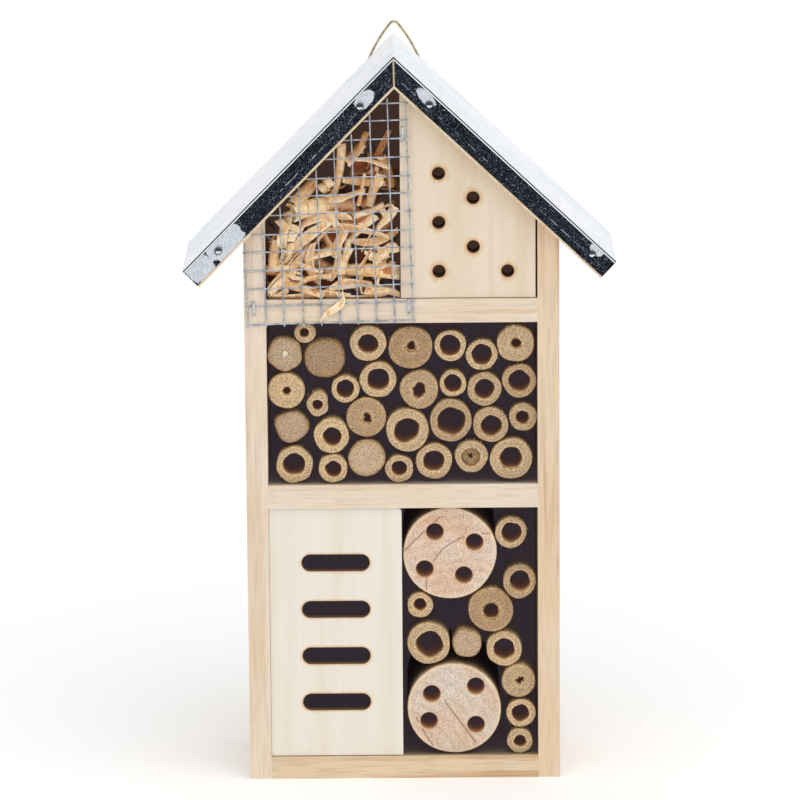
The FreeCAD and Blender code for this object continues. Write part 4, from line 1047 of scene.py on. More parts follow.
def shaving_finish():
    """Thin wood with painted light: a cream painted highlight on its torn edges, orange painted shade in its
    folds, brown painted shade and a faint painted glow deep in the heap.
    """
    finish, tree, shader = new_finish("shaving", 0.7)
    streaks = cloud(tree, 700, (1, 1, 0.6), detail=4, wander=0.4)
    woods = [(0.3, paint(226, 174, 117)), (0.43, paint(247, 215, 166)), (0.58, paint(254, 238, 207))]
    tones = [(0.0, paint(194, 144, 98)), (0.5, paint(244, 220, 188)), (1.0, grey(1.14))]
    tone = ramp(tree, stored(tree, "tone"), tones)
    colour = tint(tree, ramp(tree, streaks, woods), tone)
    edge = stored(tree, "edge")
    # Painted shade: orange on the inner side of rolls and curls.
    inside = add(tree, "ShaderNodeMapRange", {"Value": edge, 1: 0.0, 2: -1.0}).outputs[0]
    colour = blend(tree, inside, colour, tint(tree, colour, paint(206, 158, 116)))
    # Painted highlight: cream on the torn edges.
    rim = add(tree, "ShaderNodeMapRange", {"Value": edge, 1: 0.35, 2: 1.0, 4: 0.85}).outputs[0]
    colour = blend(tree, rim, colour, paint(253, 240, 211))
    # Painted shade that deepens into the heap.
    share = behind(tree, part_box("wood_shavings")[0][1], 30 * MM)
    shades = [(0.14, grey(1.0)), (0.26, paint(198, 160, 126)), (0.42, paint(112, 80, 60)),
              (1.0, paint(62, 46, 40))]
    colour = tint(tree, colour, ramp(tree, share, shades))
    tree.links.new(colour, shader.inputs["Base Color"])
    # A faint painted glow deep in the heap.
    give_off(tree, shader, ramp(tree, share, [(0.2, grey(0.0)), (0.8, paint(44, 32, 28))]))
    raise_bumps(tree, shader, streaks, 0.3, 0.2 * MM)
    return finish


# The shavings that lie in front: kind, middle across and up from the room's lower
# left corner, depth, turn in degrees, length and thickness, all lengths in mm.
FRONT_SHAVINGS = [
    ("roll", 40, 11, 4, 1, 31, 2.5), ("roll", 46.5, 3.4, 3.5, -9, 15, 2.0),
    ("roll", 15, 4, 3.5, -12, 19, 1.8), ("roll", 10, 12, 5, 47, 27, 2.3),
    ("sliver", 34, 27, 4, -5, 34, 3.4), ("roll", 24, 37, 6, 6, 26, 3.4), ("roll", 30, 53, 7, 80, 23, 1.7),
    ("roll", 16.5, 43, 6, 42, 13, 2.6), ("flake", 43.5, 56, 8, -10, 15, 3.0),
    ("roll", 41, 64, 8, 68, 9, 1.3), ("roll", 45.5, 45, 6, 66, 15, 1.8),
    ("sliver", 41, 48, 6, -6, 18, 3.5), ("sliver", 27.5, 15, 3.5, 80, 16, 3.6),
    ("roll", 32.5, 17, 5, 75, 15, 1.5), ("sliver", 21, 14, 3.5, 96, 18, 4.2),
    ("curl", 8.5, 32, 5, 20, 5, 3.0), ("curl", 12, 28, 5, 60, 4, 2.6), ("curl", 5.5, 24, 5, -20, 4, 2.4),
    ("curl", 10.5, 23, 6, 80, 5, 2.6), ("curl", 51, 19, 5, 15, 5, 3.0), ("flake", 47, 20, 6, 30, 10, 2.6),
    ("flake", 49, 34, 7, 60, 13, 3.4), ("sliver", 45, 26, 5, 12, 20, 3.8),
    ("sliver", 17, 24, 4, 38, 26, 5.0), ("sliver", 24, 31, 4, 12, 24, 4.6),
    ("flake", 33, 43, 7, 8, 16, 3.2), ("sliver", 51, 12, 3.5, -38, 12, 3.2),
    ("flake", 21, 8, 7, 15, 14, 3.6), ("sliver", 35, 5, 3, 6, 18, 3.8), ("roll", 4, 18, 6, 82, 12, 2.2),
    ("flake", 36, 61, 9, 40, 11, 2.4), ("sliver", 48, 62, 8, 64, 16, 3.0),
    ("curl", 25, 46, 7, 30, 5, 2.6), ("sliver", 14, 36, 5, -30, 12, 3.6),
    ("flake", 29, 24, 6, 70, 13, 3.0), ("roll", 50, 52, 8, -70, 14, 2.0),
]
# Strips that lie along the shelf and pieces that close the deep gaps, in the same form.
FILLING_SHAVINGS = [
    ("sliver", 12, 2.0, 2.2, 4, 22, 3.6), ("sliver", 26, 1.8, 2.6, -6, 18, 3.2),
    ("sliver", 40, 2.0, 2.2, 5, 22, 3.6), ("sliver", 50, 2.2, 2.6, -12, 12, 3.2),
    ("sliver", 33, 4.2, 3.2, 14, 16, 3.4), ("sliver", 5, 2.4, 3, 20, 9, 3.4),
    ("flake", 23, 20, 9, 30, 16, 3.4), ("roll", 27, 12, 9, -30, 18, 2.4),
    ("flake", 38, 30, 10, 50, 16, 3.4), ("flake", 6, 28, 10, 80, 14, 3.4),
    ("roll", 49, 27, 10, 65, 20, 2.4), ("flake", 30, 34, 11, -20, 16, 3.4),
]
# The kind of each shape that the heap repeats, and the numbers of the shapes of a kind.
KINDS = ["roll"] * 6 + ["curl"] * 4 + ["flake"] * 5 + ["sliver"] * 5 + ["ribbon"]
OF_KIND = {kind: [number for number, other in enumerate(KINDS) if other == kind] for kind in KINDS}


def set_shaving(corner, number, listed, angle, tone):
    """A listed shaving as a spot for `scattered`, measured from the room's corner."""
    kind, across, up, deep, _, length, thick = listed
    place = (corner[0] + across * MM, corner[1] + deep * MM, corner[2] + up * MM)
    along_scale = length * MM / LENGTHS[kind]
    across_scale = thick * MM / (ROLL_RADIUS if kind == "roll" else CURL_RADIUS)
    which = OF_KIND[kind][number % len(OF_KIND[kind])]
    return (which, place, angle, (along_scale, across_scale, across_scale), tone)


def front_angle(number, kind, turn, length):
    """How a front shaving lies: rolled about its length, turned as listed and swung in depth."""
    roll = random.uniform(0.9, 1.9) if kind == "flake" else random.uniform(*ANY_TURN)
    if kind == "roll":
        swing = 0.55 * min(1, 14 / length) * (1 if number % 2 else -1)
    else:
        swing = random.uniform(-0.2, 0.2)
    if kind == "sliver":
        roll = random.uniform(-0.4, 0.4)
    return (roll, -math.radians(turn), swing)


def any_angle():
    return (random.uniform(*ANY_TURN), random.uniform(-1.5, 1.5), random.uniform(-0.5, 0.5))


def front_crumbs(low, width, tall):
    """Small curls and slivers strewn over the front of the heap."""
    spots = []
    for _ in range(34):
        across = random.uniform(0.06, 0.94)
        up = random.uniform(2 * MM, tall * (0.3 + 0.62 * min(1, across * 1.2)) - 3 * MM)
        place = (low[0] + across * width, low[1] + random.uniform(2.5, 7) * MM, low[2] + up)
        kind = random.choice(("curl", "sliver", "sliver", "roll"))
        slim = random.uniform(0.35, 0.75)
        angle = any_angle()
        size = (slim if kind == "curl" else random.uniform(0.3, 0.7), slim, slim)
        spots.append((random.choice(OF_KIND[kind]), place, angle, size, random.uniform(0.6, 1.0)))
    return spots


def deep_layers(low, high, width, tall):
    """Shavings in four layers behind the front ones."""
    spots = []
    for _ in range(110):
        across = random.uniform(0.05, 0.95)
        top = tall * (0.3 + 0.66 * min(1, across * 1.2))
        size = random.uniform(0.7, 1.1)
        up = random.uniform(3 * MM, top - 4 * MM)
        deep = random.choice((9, 12, 16, 22)) * MM + random.uniform(-2, 3) * MM
        x = min(max(low[0] + across * width, low[0] + 6 * MM), high[0] - 6 * MM)
        angle = any_angle()
        kind = random.choice(("roll", "flake", "flake", "curl", "sliver"))
        which = random.choice(OF_KIND[kind])
        place = (x, low[1] + deep, low[2] + up)
        spots.append((which, place, angle, (size * 0.85, size, size), random.uniform(0.0, 0.9)))
    return spots


def keep_in_room(piece, low, high):
    """Press the heap's points back from the shelf, the wire mesh, the walls and the back."""
    for point in piece.data.vertices:
        place = point.co
        if place.z < low[2] + 0.3 * MM and place.y > low[1] - 0.6 * MM:
            place.z = low[2] + 0.3 * MM
        limit = low[1] + 0.3 * MM
        if place.z > low[2] + 3 * MM and place.y < limit:
            place.y = limit + (limit - place.y) * 0.2
        place.x = min(max(place.x, low[0] + 0.4 * MM), high[0] - 0.4 * MM)
        place.y = min(place.y, high[1] - 0.5 * MM)


def wood_shavings():
    low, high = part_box("wood_shavings")
    width, tall = high[0] - low[0], high[2] - low[2]
    shapes = [shaving(kind, 40 + number) for number, kind in enumerate(KINDS)]
    spots = []
    for number, listed in enumerate(FRONT_SHAVINGS):
        angle = front_angle(number, listed[0], listed[4], listed[5])
        spots.append(set_shaving(low, number, listed, angle, random.uniform(0.55, 1.0)))
    spots += front_crumbs(low, width, tall)
    spots += deep_layers(low, high, width, tall)
    for number, listed in enumerate(FILLING_SHAVINGS):
        angle = (1.4 if listed[0] == "flake" else 0.2, -math.radians(listed[4]), 0.0)
        spots.append(set_shaving(low, number, listed, angle, 0.75))
    hanging = (low[0] + 27.8 * MM, low[1] - 2.0 * MM, low[2] - 2.6 * MM)
    spots.append((OF_KIND["ribbon"][0], hanging, (0.2, math.radians(-74), 0.1), (1.05, 1.2, 1.2), 1.0))
    piece = scattered("shavings_heap", shapes, spots, shaving_finish())
    keep_in_room(piece, low, high)
    belongs(piece, "shavings", "wood_shavings")


wood_shavings()

# ---- Wire mesh ----------------------------------------------------------------------
# Welded galvanised wire, cut from a roll along the roof and stapled over the heap
# with its right end a little high. No wire is quite straight.

MESH_TILT, MESH_PITCH, WIRE = math.radians(1.6), 7.55 * MM, 0.31 * MM
MESH_COLUMNS, MESH_ROWS, WIRE_STEP = 9, 13, 0.9 * MM
# Where the mesh's lower left crossing lies, and the front of the boards that it lies on.
MESH_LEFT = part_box("left_side_board")[0][0] + 1.8 * MM
MESH_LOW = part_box("upper_shelf")[1][2] - 10.4 * MM
MESH_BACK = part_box("upper_shelf")[0][1]


def wire_tree():
    """Sweep a round section along every chain of edges."""
    inputs = {"Radius": "NodeSocketFloat", "Sides": "NodeSocketInt", "Finish": "NodeSocketMaterial"}
    tree, given, result = new_tree("wire", inputs)
    runs = add(tree, "GeometryNodeMeshToCurve", {"Mesh": given.outputs["Geometry"]})
    inputs = {"Resolution": given.outputs["Sides"], "Radius": given.outputs["Radius"]}
    section = add(tree, "GeometryNodeCurvePrimitiveCircle", inputs)
    inputs = {"Curve": runs.outputs[0], "Profile Curve": section.outputs[0], "Fill Caps": True}
    finish_off(tree, given, add(tree, "GeometryNodeCurveToMesh", inputs), result)
    return tree


wire_sweep = wire_tree()


def swept(name, chains, radius, sides, finish):
    """Wires along chains of points, as one mesh."""
    vertices, edges = [], []
    for chain in chains:
        start = len(vertices)
        vertices += plain(chain)
        edges += [(number, number + 1) for number in range(start, len(vertices) - 1)]
    mesh = bpy.data.meshes.new(f"{name}_path")
    mesh.from_pydata(vertices, edges, [])
    source = bpy.data.objects.new(f"{name}_path", mesh)
    bpy.context.collection.objects.link(source)
    return grow(name, source, wire_sweep, {"Radius": radius, "Sides": sides, "Finish": finish})


def zinc(name, pale, deep, roughness, metallic=0.75):
    """Zinc coating: cloudy patches of grey with fine grain."""
    finish, tree, shader = new_finish(name, roughness, metallic)
    patches = cloud(tree, 420, detail=4)
    colour = ramp(tree, patches, [(0.35, deep), (0.62, pale)])
    tree.links.new(colour, shader.inputs["Base Color"])
    raise_bumps(tree, shader, patches, 0.25, 0.1 * MM)
    return finish


mesh_wire = zinc("mesh_wire", paint(196, 202, 210), paint(134, 142, 154), 0.4, 0.35)
ridge_x = middle_of("hanger_ring")[0]
ridge_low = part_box("back_panel")[1][2]


def slope_of(node, inner):
    """Tangent of a roof board's slope, from the inner top edge of a side board."""
    low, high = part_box(node)
    return (ridge_low - high[2]) / abs(ridge_x - (high[0] if inner == "right" else low[0]))


LEFT_RISE = slope_of("left_side_board", "right")
RIGHT_RISE = slope_of("right_side_board", "left")


def under_roof(x):
    """Height of the roof boards' underside over x."""
    return ridge_low - (ridge_x - x) * LEFT_RISE if x < ridge_x else ridge_low - (x - ridge_x) * RIGHT_RISE


def on_mesh(along, up):
    """x and z of a place on the tilted mesh."""
    x = MESH_LEFT + along * math.cos(MESH_TILT) - up * math.sin(MESH_TILT)
    return x, MESH_LOW + along * math.sin(MESH_TILT) + up * math.cos(MESH_TILT)


def bent_wire(places, y):
    """A wire through places on the mesh, never quite straight, cut off under the roof boards."""
    chain = []
    for along, up in places:
        x, z = on_mesh(along, up)
        x += noise.noise(Vector((along * 55, up * 55, y * 900))) * 0.22 * MM
        z += noise.noise(Vector((along * 38 + 9, up * 38, y * 900))) * 0.22 * MM
        if z < under_roof(x) - 0.7 * MM:
            chain.append((x, y, z))
    return chain


def wire_mesh():
    chains = []
    for column in range(MESH_COLUMNS + 1):
        reach = np.arange(-1.1 * MM, (MESH_ROWS + 1) * MESH_PITCH, WIRE_STEP)
        along = column * MESH_PITCH + random.uniform(-0.25, 0.25) * MM
        chains.append(bent_wire([(along, up) for up in reach], MESH_BACK - 3 * WIRE))
    for row in range(MESH_ROWS + 1):
        end = MESH_COLUMNS * MESH_PITCH + random.uniform(1.1, 1.75) * MM
        reach = np.arange(-1.15 * MM, end, WIRE_STEP)
        up = row * MESH_PITCH + random.uniform(-0.3, 0.3) * MM
        chains.append(bent_wire([(along, up) for along in reach], MESH_BACK - 1.1 * WIRE))
    chains = [chain for chain in chains if len(chain) > 2]
    piece = swept("mesh_grid", chains, WIRE, 8, mesh_wire)
    belongs(piece, "mesh_wire", "wire_mesh")


wire_mesh()

# ---- Staples ------------------------------------------------------------------------
# Bright flat-wire staples that hold the mesh: two at the shelf and one high up on
# the drilled panel, each upright over a level wire.

STAPLE_TALL, STAPLE_BITE, STAPLE_STANDS, STAPLE_BEND = 6 * MM, 3 * MM, 1.15 * MM, 0.5 * MM
STAPLE_WIRE, STAPLE_FLAT = 0.32 * MM, 1.7
# Place along the mesh and up it, in millimetres.
STAPLES = [(2.4, 6.95), (66.25, 5.55), (66.25, 77.5)]


def staple_chain(x, z):
    """One staple's middle line: a leg, a bend, the crown, a bend and a leg."""
    half, crown = STAPLE_TALL / 2 - 0.3 * MM, MESH_BACK - STAPLE_STANDS
    lower = [(MESH_BACK + STAPLE_BITE, -half), (MESH_BACK, -half)]
    for step in range(5):
        angle = step / 4 * math.pi / 2
        sunk, raised = STAPLE_BEND * (1 - math.sin(angle)), STAPLE_BEND * (1 - math.cos(angle))
        lower.append((crown + sunk, raised - half))
    return [(x, y, z + up) for y, up in lower] + [(x, y, z - up) for y, up in reversed(lower)]


def staples():
    finish = zinc("staple_steel", paint(214, 218, 224), paint(132, 138, 148), 0.3, 0.5)
    middles = [on_mesh(along * MM, up * MM) for along, up in STAPLES]
    piece = swept("staples_bent", [staple_chain(x, z) for x, z in middles], STAPLE_WIRE, 10, finish)
    for vertex in piece.data.vertices:
        x, z = min(middles, key=lambda middle: math.hypot(middle[0] - vertex.co.x, middle[1] - vertex.co.z))
        vertex.co.x = x + (vertex.co.x - x) * STAPLE_FLAT
    belongs(piece, "nail_steel", "mesh_staples")


staples()

# ---- Roof boards --------------------------------------------------------------------
# Two pine boards, mitred at the ridge. Only their lower edges and their eave ends
# show under the sheet.

for side, shift in (("left", (4, 4, 0)), ("right", (8, 2, 0))):
    roof_pine = pine(f"pine_roof_{side}", LENGTHWISE, paint(240, 222, 192), paint(226, 198, 160), shift)
    dress(f"roof_board_{side}", roof_pine)

# ---- Roof sheet ---------------------------------------------------------------------
# One galvanised sheet folded over the ridge. Its front and back edges are turned
# down over the boards, with a slit at the ridge, and the nails have dented them.

# Sides are -1 on the left and 1 on the right.
SHEET, FLANGE, FOLD, SLIT = 0.48 * MM, 8.4 * MM, 1.3 * MM, 0.35 * MM
NAIL_RIDGE, NAIL_EAVE, NAIL_DROP = 15 * MM, {-1: 16.6 * MM, 1: 9.6 * MM}, 4.4 * MM
sheet_low, sheet_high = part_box("roof_sheet")
ANGLE = {-1: math.atan(LEFT_RISE), 1: math.atan(RIGHT_RISE)}
LEAN = math.tan((ANGLE[-1] + ANGLE[1]) / 2)
BOTH_RISES = math.sin(ANGLE[-1]) + math.sin(ANGLE[1])
ROOF_THICK = (sheet_high[2] - ridge_low) * math.sin(ANGLE[-1] + ANGLE[1]) / BOTH_RISES
REACH = {-1: ridge_x - sheet_low[0], 1: sheet_high[0] - ridge_x}
EAVE = {side: (REACH[side] - ROOF_THICK * math.sin(ANGLE[side])) / math.cos(ANGLE[side]) for side in (-1, 1)}
SHEET_COLUMNS, EDGE_STEPS, BEND_STEPS, TOP_STEPS = 150, 12, 8, 30


def on_slope(side, down, out):
    """x and z of a point down a slope from the inner ridge and out from the underside."""
    x = ridge_x + side * (down * math.cos(ANGLE[side]) + out * math.sin(ANGLE[side]))
    return x, ridge_low - down * math.sin(ANGLE[side]) + out * math.cos(ANGLE[side])


def nail_spots():
    """Each roof nail: its side, how far down the slope it is and how far out."""
    out = ROOF_THICK - NAIL_DROP
    return [(side, down, out) for side in (-1, 1) for down in (NAIL_RIDGE, EAVE[side] - NAIL_EAVE[side])]


# Bright hammered patches: side, which nail, middle along the slope from that nail and
# above it, half length and half height, in millimetres.
PATCHES = [(-1, 0, -3.4, 0.6, 4.6, 2.8), (1, 0, -3.2, 1.4, 4.4, 2.2), (-1, 1, -4.5, 0.4, 8.2, 6.5),
           (1, 1, 0.3, 2.6, 3.2, 2.0), (-1, 1, 10.5, 0.5, 5.5, 5.5)]


def sheet_top(tree):
    """Zinc painted near white as a painted reflection of the bright room, with a faint spangle and a few
    dark spots.
    """
    # The near-white top is a painted reflection of the bright room.
    top = ramp(tree, cloud(tree, 26, detail=3), [(0.3, paint(238, 243, 252)), (0.7, paint(253, 254, 255))])
    spangle = add(tree, "ShaderNodeTexVoronoi", {"Vector": own_place(tree), "Scale": 260.0}).outputs["Color"]
    spangle = add(tree, "ShaderNodeSeparateColor", {0: spangle}).outputs[0]
    top = tint(tree, top, greys(tree, spangle, (0.1, 0.92), (0.6, 1.0)))
    spots = cloud(tree, 700, detail=1)
    return tint(tree, top, greys(tree, spots, (0.24, 0.72), (0.3, 1.0)))


def sheet_edge(tree, grain):
    """Zinc painted dark as a painted reflection, with speckle, one broken scratch, bright hammered patches
    and painted shade in the dents.
    """
    # Dark colours as a painted reflection, with the zinc's own pale speckle.
    speckle = [(0.4, paint(8, 12, 20)), (0.55, paint(16, 22, 34)), (0.63, paint(50, 62, 80)),
               (0.71, paint(196, 208, 220))]
    scuff = greys(tree, cloud(tree, 300, detail=4, shift=(3, 1, 1)), (0.4, 0.45), (0.62, 1.2))
    edge = tint(tree, ramp(tree, grain, speckle), scuff, 0.8)
    line = greys(tree, stored(tree, "scratch"), (0.86, 0.0), (0.96, 1.0))
    gaps = cloud(tree, 520, detail=3, shift=(6, 6, 0))
    broken = greys(tree, gaps, (0.46, 0.0), (0.56, 0.7))
    edge = blend(tree, calculate(tree, "MULTIPLY", line, broken), edge, paint(196, 208, 220))
    steels = [(0.35, paint(168, 176, 184)), (0.6, paint(218, 224, 230))]
    hammered = ramp(tree, cloud(tree, 2600, detail=3), steels)
    border = calculate(tree, "MULTIPLY", cloud(tree, 420, detail=2), 0.5)
    border = calculate(tree, "ADD", stored(tree, "patch"), border)
    edge = blend(tree, greys(tree, border, (0.86, 0.0), (0.93, 1.0)), edge, hammered)
    # Painted shade in the dents round the nails.
    return blend(tree, stored(tree, "dent"), edge, paint(30, 36, 48))


def sheet_finish():
    """Painted light on one zinc: a near-white painted reflection on top, a dark and a bright painted
    reflection line at the fold, and speckled edges painted dark as a painted reflection.
    """
    finish, tree, shader = new_finish("roof_zinc", 0.4)
    shader.inputs["Specular IOR Level"].default_value = 0.1
    fold = stored(tree, "fold")
    grain = cloud(tree, 2700, detail=2)
    # A dark and a bright painted reflection line along the fold, then the dark painted reflection of the
    # edge.
    painted_fold_lines = [(0.06, paint(244, 247, 252)), (0.14, paint(52, 54, 60)), (0.56, paint(64, 66, 72)),
             (0.62, paint(246, 249, 253)), (0.76, paint(246, 249, 253)), (0.84, paint(24, 34, 52))]
    on_edge = greys(tree, fold, (0.84, 0.0), (0.9, 1.0))
    on_top = greys(tree, fold, (0.02, 1.0), (0.08, 0.0))
    below = blend(tree, on_edge, ramp(tree, fold, painted_fold_lines), sheet_edge(tree, grain))
    tree.links.new(blend(tree, on_top, below, sheet_top(tree)), shader.inputs["Base Color"])
    raise_bumps(tree, shader, grain, 0.15, 0.05 * MM)
    return finish


def edge_rows():
    """Across the sheet from the front hem to the back hem: y, out, and the fold's share."""
    front, back = sheet_low[1], sheet_high[1]
    hem, top = ROOF_THICK - FLANGE, ROOF_THICK
    rows = [(front, hem + (top - FOLD - hem) * step / EDGE_STEPS, 1.0) for step in range(EDGE_STEPS)]
    for step in range(BEND_STEPS + 1):
        angle = step / BEND_STEPS * math.pi / 2
        y, out = front + FOLD * (1 - math.cos(angle)), top - FOLD * (1 - math.sin(angle))
        rows.append((y, out, 1 - step / BEND_STEPS))
    across = back - front - 2 * FOLD
    middle = [(front + FOLD + across * step / TOP_STEPS, top, 0.0) for step in range(1, TOP_STEPS)]
    mirrored = [(front + back - y, out, fold) for y, out, fold in reversed(rows)]
    return rows + middle + mirrored


def nail_press(side, down, out, spots):
    """How far the nails have driven a point of the edge in, and how much painted shade their dent lays
    there.
    """
    inward, dent = 0.0, 0.0
    for nail_side, nail_down, nail_out in spots:
        if nail_side == side:
            reach = math.hypot(down - nail_down, (out - nail_out) * 1.2)
            inward += 0.32 * MM * math.exp(-(reach / (1.6 * MM)) ** 2)
            inward -= 0.16 * MM * math.exp(-((reach - 4.5 * MM) / (2 * MM)) ** 2)
            dent = max(dent, math.exp(-((reach - 1.3 * MM) / (0.6 * MM)) ** 2))
    return inward, dent


def patch_share(side, down, out, spots):
    """How far inside a hammered patch a point of the edge lies."""
    share = 0.0
    for patch_side, which, along, above, half_long, half_tall in PATCHES:
        if patch_side == side:
            nail = spots[(0 if side < 0 else 2) + which]
            reach = math.hypot((down - nail[1] - along * MM) / (half_long * MM),
                               (out - nail[2] - above * MM) / (half_tall * MM))
            share = max(share, 1.45 - 0.75 * reach)
    return share


def roof_sheet():
    rows = edge_rows()
    spots = nail_spots()
    width = SHEET_COLUMNS + 1
    vertices, faces = [], []
    values = {"fold": [], "patch": [], "dent": [], "scratch": []}
    for side in (-1, 1):
        quads = grid_faces(len(rows), width, len(vertices))
        faces += [tuple(reversed(quad)) for quad in quads] if side < 0 else quads
        for y, out, fold in rows:
            start = -out * LEAN + (SLIT / math.cos(ANGLE[side]) if fold > 0.6 else SLIT * fold)
            for column in range(width):
                down = start + (EAVE[side] - start) * column / SHEET_COLUMNS
                inward, patch, dent, wave = 0.0, 0.0, 0.0, 0.0
                if fold > 0.3:
                    inward, dent = nail_press(side, down, out, spots)
                    patch = patch_share(side, down, out, spots)
                    inward += 0.12 * MM * noise.noise(Vector((down * 60, out * 60, side)))
                    inward = max(0.0, inward + 0.16 * MM) * min(1, (fold - 0.3) / 0.5)
                elif fold == 0:
                    wave = 0.22 * MM * noise.noise(Vector((down * 22, y * 22, side * 3.0))) - 0.12 * MM
                    wave *= min(1, column / 4, (SHEET_COLUMNS - column) / 3)
                x, z = on_slope(side, down, out + wave)
                vertices.append((x, y + (inward if y < 0 else -inward), z))
                sway = 0.35 * MM * noise.noise(Vector((down * 30, 0, side)))
                scratch = 1 - abs(out + sway - (ROOF_THICK - 5.6 * MM)) / (2 * MM)
                for key, number in zip(values, (fold, patch, dent, scratch)):
                    values[key].append(number)
    bridge = len(rows) * width
    for row in range(len(rows) - 1):
        if max(rows[row][2], rows[row + 1][2]) < 0.6:
            left, left_next = row * width, (row + 1) * width
            faces.append((left_next, left, left + bridge, left_next + bridge))
    piece = mesh_piece("roof_zinc_sheet", vertices, faces, [sheet_finish()], None, values)
    shell = piece.modifiers.new("sheet", "SOLIDIFY")
    shell.thickness = SHEET
    shell.offset = -1
    belongs(piece, "galvanised", "roof_sheet")


roof_sheet()

# ---- Roof nails ---------------------------------------------------------------------
# Small bright steel nails with domed heads, driven through the turned-down edges into
# the roof boards: four at the front and four at the back.


def turned(profile, sides):
    """A closed shape turned about the Y axis from pairs of radius and y, in millimetres."""
    vertices, faces = [], []
    for radius, y in profile:
        for step in range(sides):
            angle = step / sides * 2 * math.pi
            vertices.append((radius * MM * math.cos(angle), y * MM, radius * MM * math.sin(angle)))
    for row in range(len(profile) - 1):
        for step in range(sides):
            after = (step + 1) % sides
            here, there = row * sides, (row + 1) * sides
            faces.append((there + step, there + after, here + after, here + step))
    first, last = tuple(range(sides)), tuple(reversed(range(len(vertices) - sides, len(vertices))))
    return vertices, faces + [first, last]


NAIL_PROFILE = [(0.1, -0.5), (0.45, -0.48), (0.8, -0.42), (1.08, -0.3), (1.25, -0.12), (1.3, 0.02),
                (1.25, 0.12), (0.7, 0.16), (0.7, 13.5), (0.1, 14)]
NAIL_SIDES = 16
# How dark each ring of the profile is painted on its lower half, from 0 to 1; the upper half is kept dark,
# so a low value leaves a painted glint.
NAIL_PAINTED_DARK = [0.5, 0.35, 0.0, 0.0, 0.4, 1.0, 1.0, 1.0, 1.0, 1.0]


def roof_nails():
    finish, tree, shader = new_finish("nail_steel", 0.3)
    # A painted reflection: a bright crescent on the heads' lower half, dark elsewhere.
    steels = [(0.1, paint(236, 240, 244)), (0.45, paint(130, 134, 142)), (0.7, paint(34, 36, 42))]
    colour = ramp(tree, stored(tree, "edge"), steels)
    tree.links.new(colour, shader.inputs["Base Color"])
    raise_bumps(tree, shader, cloud(tree, 1800, detail=2), 0.2, 0.1 * MM)
    spots = []
    for side, down, out in nail_spots():
        x, z = on_slope(side, down, out)
        tilt = (random.uniform(-0.12, 0.12), 0.0, random.uniform(-0.12, 0.12))
        spots.append((0, (x, sheet_low[1] + 0.05 * MM, z), tilt, (1, 1, 1), 0.5))
        spots.append((0, (x, sheet_high[1] - 0.05 * MM, z), (0.0, 0.0, math.pi), (1, 1, 1), 0.5))
    shade = []
    for painted_dark in NAIL_PAINTED_DARK:
        shade += [painted_dark if step > NAIL_SIDES / 2 else max(painted_dark, 0.8) for step in range(NAIL_SIDES)]
    piece = scattered("roof_nails_driven", [(*turned(NAIL_PROFILE, NAIL_SIDES), shade)], spots, finish)
    belongs(piece, "nail_steel", "roof_nails")


roof_nails()

# ---- Brads --------------------------------------------------------------------------
# Headless steel brads, driven level with the wood. They join the side boards and the
# back panel to the floor and shelves, and the roof boards to the side boards.

dress("frame_nails", zinc("brad_steel", paint(186, 190, 196), paint(120, 122, 128), 0.4))

# ---- Hanger -------------------------------------------------------------------------
# A brassed wire ring that turns in the knuckle of a strap. Two screws hold the strap
# to the back panel just under the ridge.


def brassed():
    finish, tree, shader = new_finish("brassed_wire", 0.35, 0.6)
    rubs = cloud(tree, 900, detail=3)
    colour = ramp(tree, rubs, [(0.35, paint(150, 134, 86)), (0.6, paint(206, 190, 142))])
    tree.links.new(colour, shader.inputs["Base Color"])
    raise_bumps(tree, shader, rubs, 0.2, 0.08 * MM)
    return finish


dress("hanger_ring", brassed())
dress("hanger_strap", zinc("strap_zinc", paint(196, 202, 208), paint(140, 146, 154), 0.35))
dress("hanger_screws", zinc("screw_zinc", paint(206, 206, 200), paint(128, 128, 126), 0.3))

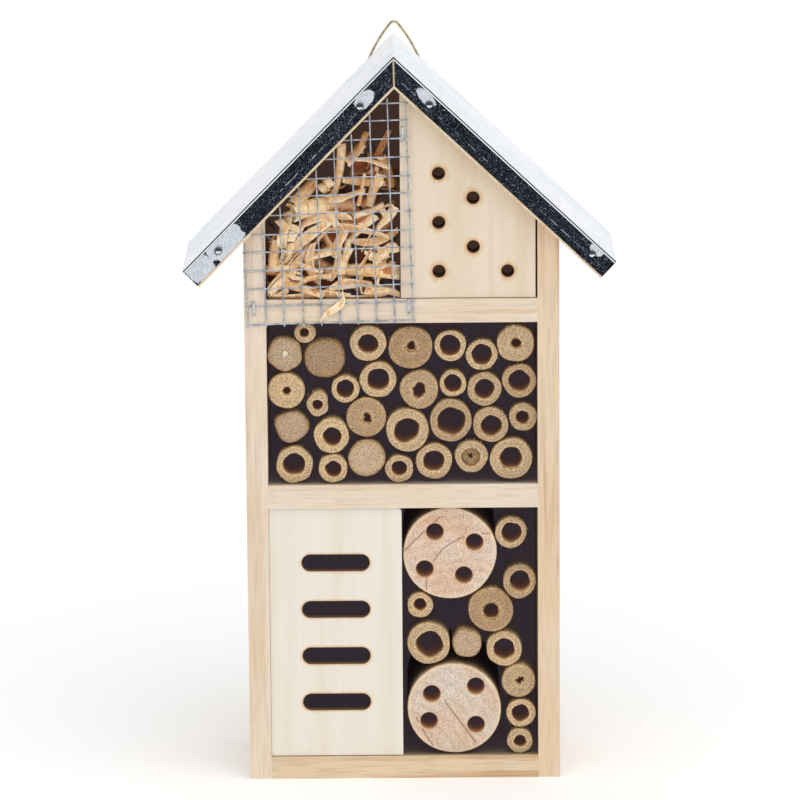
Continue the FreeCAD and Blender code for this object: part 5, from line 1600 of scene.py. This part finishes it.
# ---- Studio -------------------------------------------------------------------------
# A pale floor and a bright even room with soft light from above and the front, seen
# by a long lens a little above the roof.

FLOOR_REACH, SKY_LIGHT, SUN_LIGHT, SUN_WIDTH = 6.0, 0.68, 1.35, 70


def studio_floor():
    finish, _, shader = new_finish("studio_floor", 0.9)
    shader.inputs["Base Color"].default_value = grey(0.99)
    corners = [(x * FLOOR_REACH, y * FLOOR_REACH, 0.0) for x, y in ((-1, -1), (1, -1), (1, 1), (-1, 1))]
    floor = mesh_piece("studio_floor", corners, [(0, 1, 2, 3)], [finish])


def bright_room():
    """The same soft light from all round."""
    room = bpy.data.worlds.new("room")
    room.use_nodes = True
    room.node_tree.nodes["Background"].inputs["Color"].default_value = grey(1.0)
    room.node_tree.nodes["Background"].inputs["Strength"].default_value = SKY_LIGHT
    bpy.context.scene.world = room


def soft_sun(aim):
    """Even light from one side of the sky, soft enough to leave no hard shadow."""
    light = bpy.data.lights.new("soft_sun", "SUN")
    light.energy = SUN_LIGHT
    light.angle = math.radians(SUN_WIDTH)
    holder = bpy.data.objects.new("soft_sun", light)
    bpy.context.collection.objects.link(holder)
    holder.rotation_euler = Vector(aim).to_track_quat("-Z", "Y").to_euler()


studio_floor()
bright_room()
soft_sun((-0.18, 0.55, -1.0))
bpy.context.scene.view_settings.view_transform = "Standard"


def place_camera():
    """Long lens, tipped down, with the slight lean of a hand-set camera."""
    spot = Vector((0.00084, -2.151, 0.6229))
    aim = Vector((-0.00097, -0.032, 0.1625))
    lean = math.radians(-0.44)
    forward = (aim - spot).normalized()
    level = forward.cross(Vector((0, 0, 1))).normalized()
    above = level.cross(forward)
    right = level * math.cos(lean) + above * math.sin(lean)
    up = right.cross(forward)
    camera = bpy.data.cameras.new("camera")
    camera.lens, camera.sensor_width, camera.clip_end = 235.9, 36.0, 50.0
    holder = bpy.data.objects.new("camera", camera)
    bpy.context.collection.objects.link(holder)
    turn = Matrix((right, up, -forward)).transposed()
    holder.matrix_world = Matrix.Translation(spot) @ turn.to_4x4()
    bpy.context.scene.camera = holder


place_camera()
